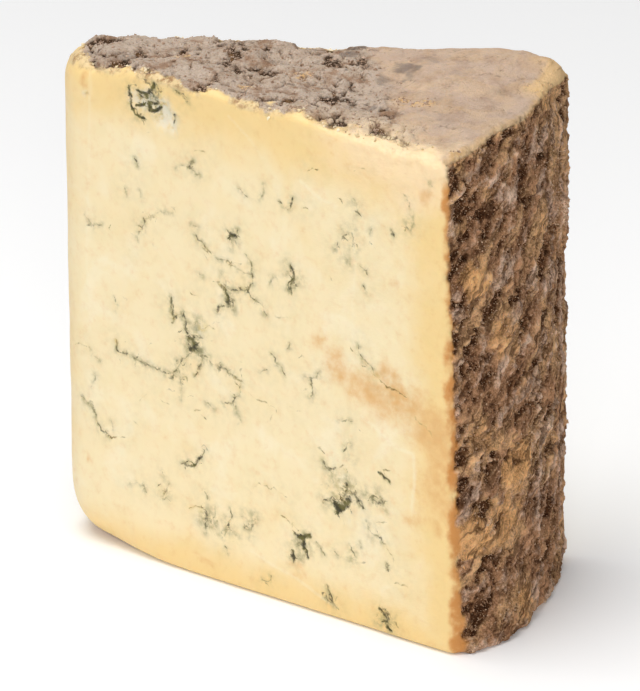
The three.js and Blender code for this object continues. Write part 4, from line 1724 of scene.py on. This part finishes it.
class CHEESE_OT_stage(Operator):
    """Set the pale floor, the soft light and the camera"""

    bl_idname = "cheese.stage"
    bl_label = "Stage"

    def execute(self, context):
        stage = context.scene.cheese_stage
        self.floor(stage)
        world = bpy.data.worlds.new("studio")
        world.use_nodes = True
        world.node_tree.nodes["Background"].inputs["Color"].default_value = (1.0, 1.0, 1.0, 1.0)
        world.node_tree.nodes["Background"].inputs["Strength"].default_value = stage.sky
        context.scene.world = world
        for kind, across, place in LIGHTS:
            soft_light(f"{kind}_light", getattr(stage, kind), across, place, LIT_POINT)
        context.scene.view_settings.view_transform = "Standard"
        self.camera(context, stage)
        return {"FINISHED"}

    def floor(self, stage):
        """A wide pale floor that glows a little."""
        mesh = bpy.data.meshes.new("floor")
        bm = bmesh.new()
        bmesh.ops.create_grid(bm, x_segments=1, y_segments=1, size=FLOOR_REACH)
        bm.to_mesh(mesh)
        bm.free()
        floor = bpy.data.objects.new("floor", mesh)
        bpy.context.scene.collection.objects.link(floor)
        finish = Finish("floor")
        finish.set(Base_Color=stage.floor, Roughness=0.8)
        finish.set(Emission_Color=stage.floor, Emission_Strength=stage.glow)
        mesh.materials.append(finish.material)

    def camera(self, context, stage):
        """The photograph's camera."""
        view = PhotoView(stage)
        lens = bpy.data.cameras.new("camera")
        lens.lens = stage.lens
        lens.sensor_width = SENSOR
        camera = bpy.data.objects.new("camera", lens)
        camera.location = Vector(view.eye * MM)
        camera.rotation_euler = Vector(-view.back).to_track_quat("-Z", "Y").to_euler()
        context.scene.collection.objects.link(camera)
        context.scene.camera = camera


OPERATORS = (
    CHEESE_OT_body, CHEESE_OT_rind_grains, CHEESE_OT_crust_grains, CHEESE_OT_paste_crumbs, CHEESE_OT_stage,
)
GROUPS = {
    "cheese_paste": CheesePaste,
    "cheese_rind": CheeseRind,
    "cheese_crust": CheeseCrust,
    "cheese_crumbs": CheeseCrumbs,
    "cheese_stage": CheeseStage,
}


class CHEESE_PT_panel(Panel):
    """Sizes, colours and steps of the cheese wedge"""

    bl_idname = "CHEESE_PT_panel"
    bl_label = "Blue Cheese Wedge"
    bl_space_type = "VIEW_3D"
    bl_region_type = "UI"
    bl_category = "Cheese"

    def draw(self, context):
        for name, group in GROUPS.items():
            box = self.layout.box()
            box.label(text=group.__doc__)
            for field in group.__annotations__:
                box.prop(getattr(context.scene, name), field)
        for operator in OPERATORS:
            self.layout.operator(operator.bl_idname)


CLASSES = (*GROUPS.values(), *OPERATORS, CHEESE_PT_panel)


def register():
    for made in CLASSES:
        bpy.utils.register_class(made)
    for name, group in GROUPS.items():
        setattr(bpy.types.Scene, name, PointerProperty(type=group))


def unregister():
    for name in GROUPS:
        delattr(bpy.types.Scene, name)
    for made in reversed(CLASSES):
        bpy.utils.unregister_class(made)


def main():
    register()
    bpy.ops.cheese.body()
    bpy.ops.cheese.rind_grains()
    bpy.ops.cheese.crust_grains()
    bpy.ops.cheese.paste_crumbs()
    bpy.ops.cheese.stage()


if __name__ == "__main__":
    main()
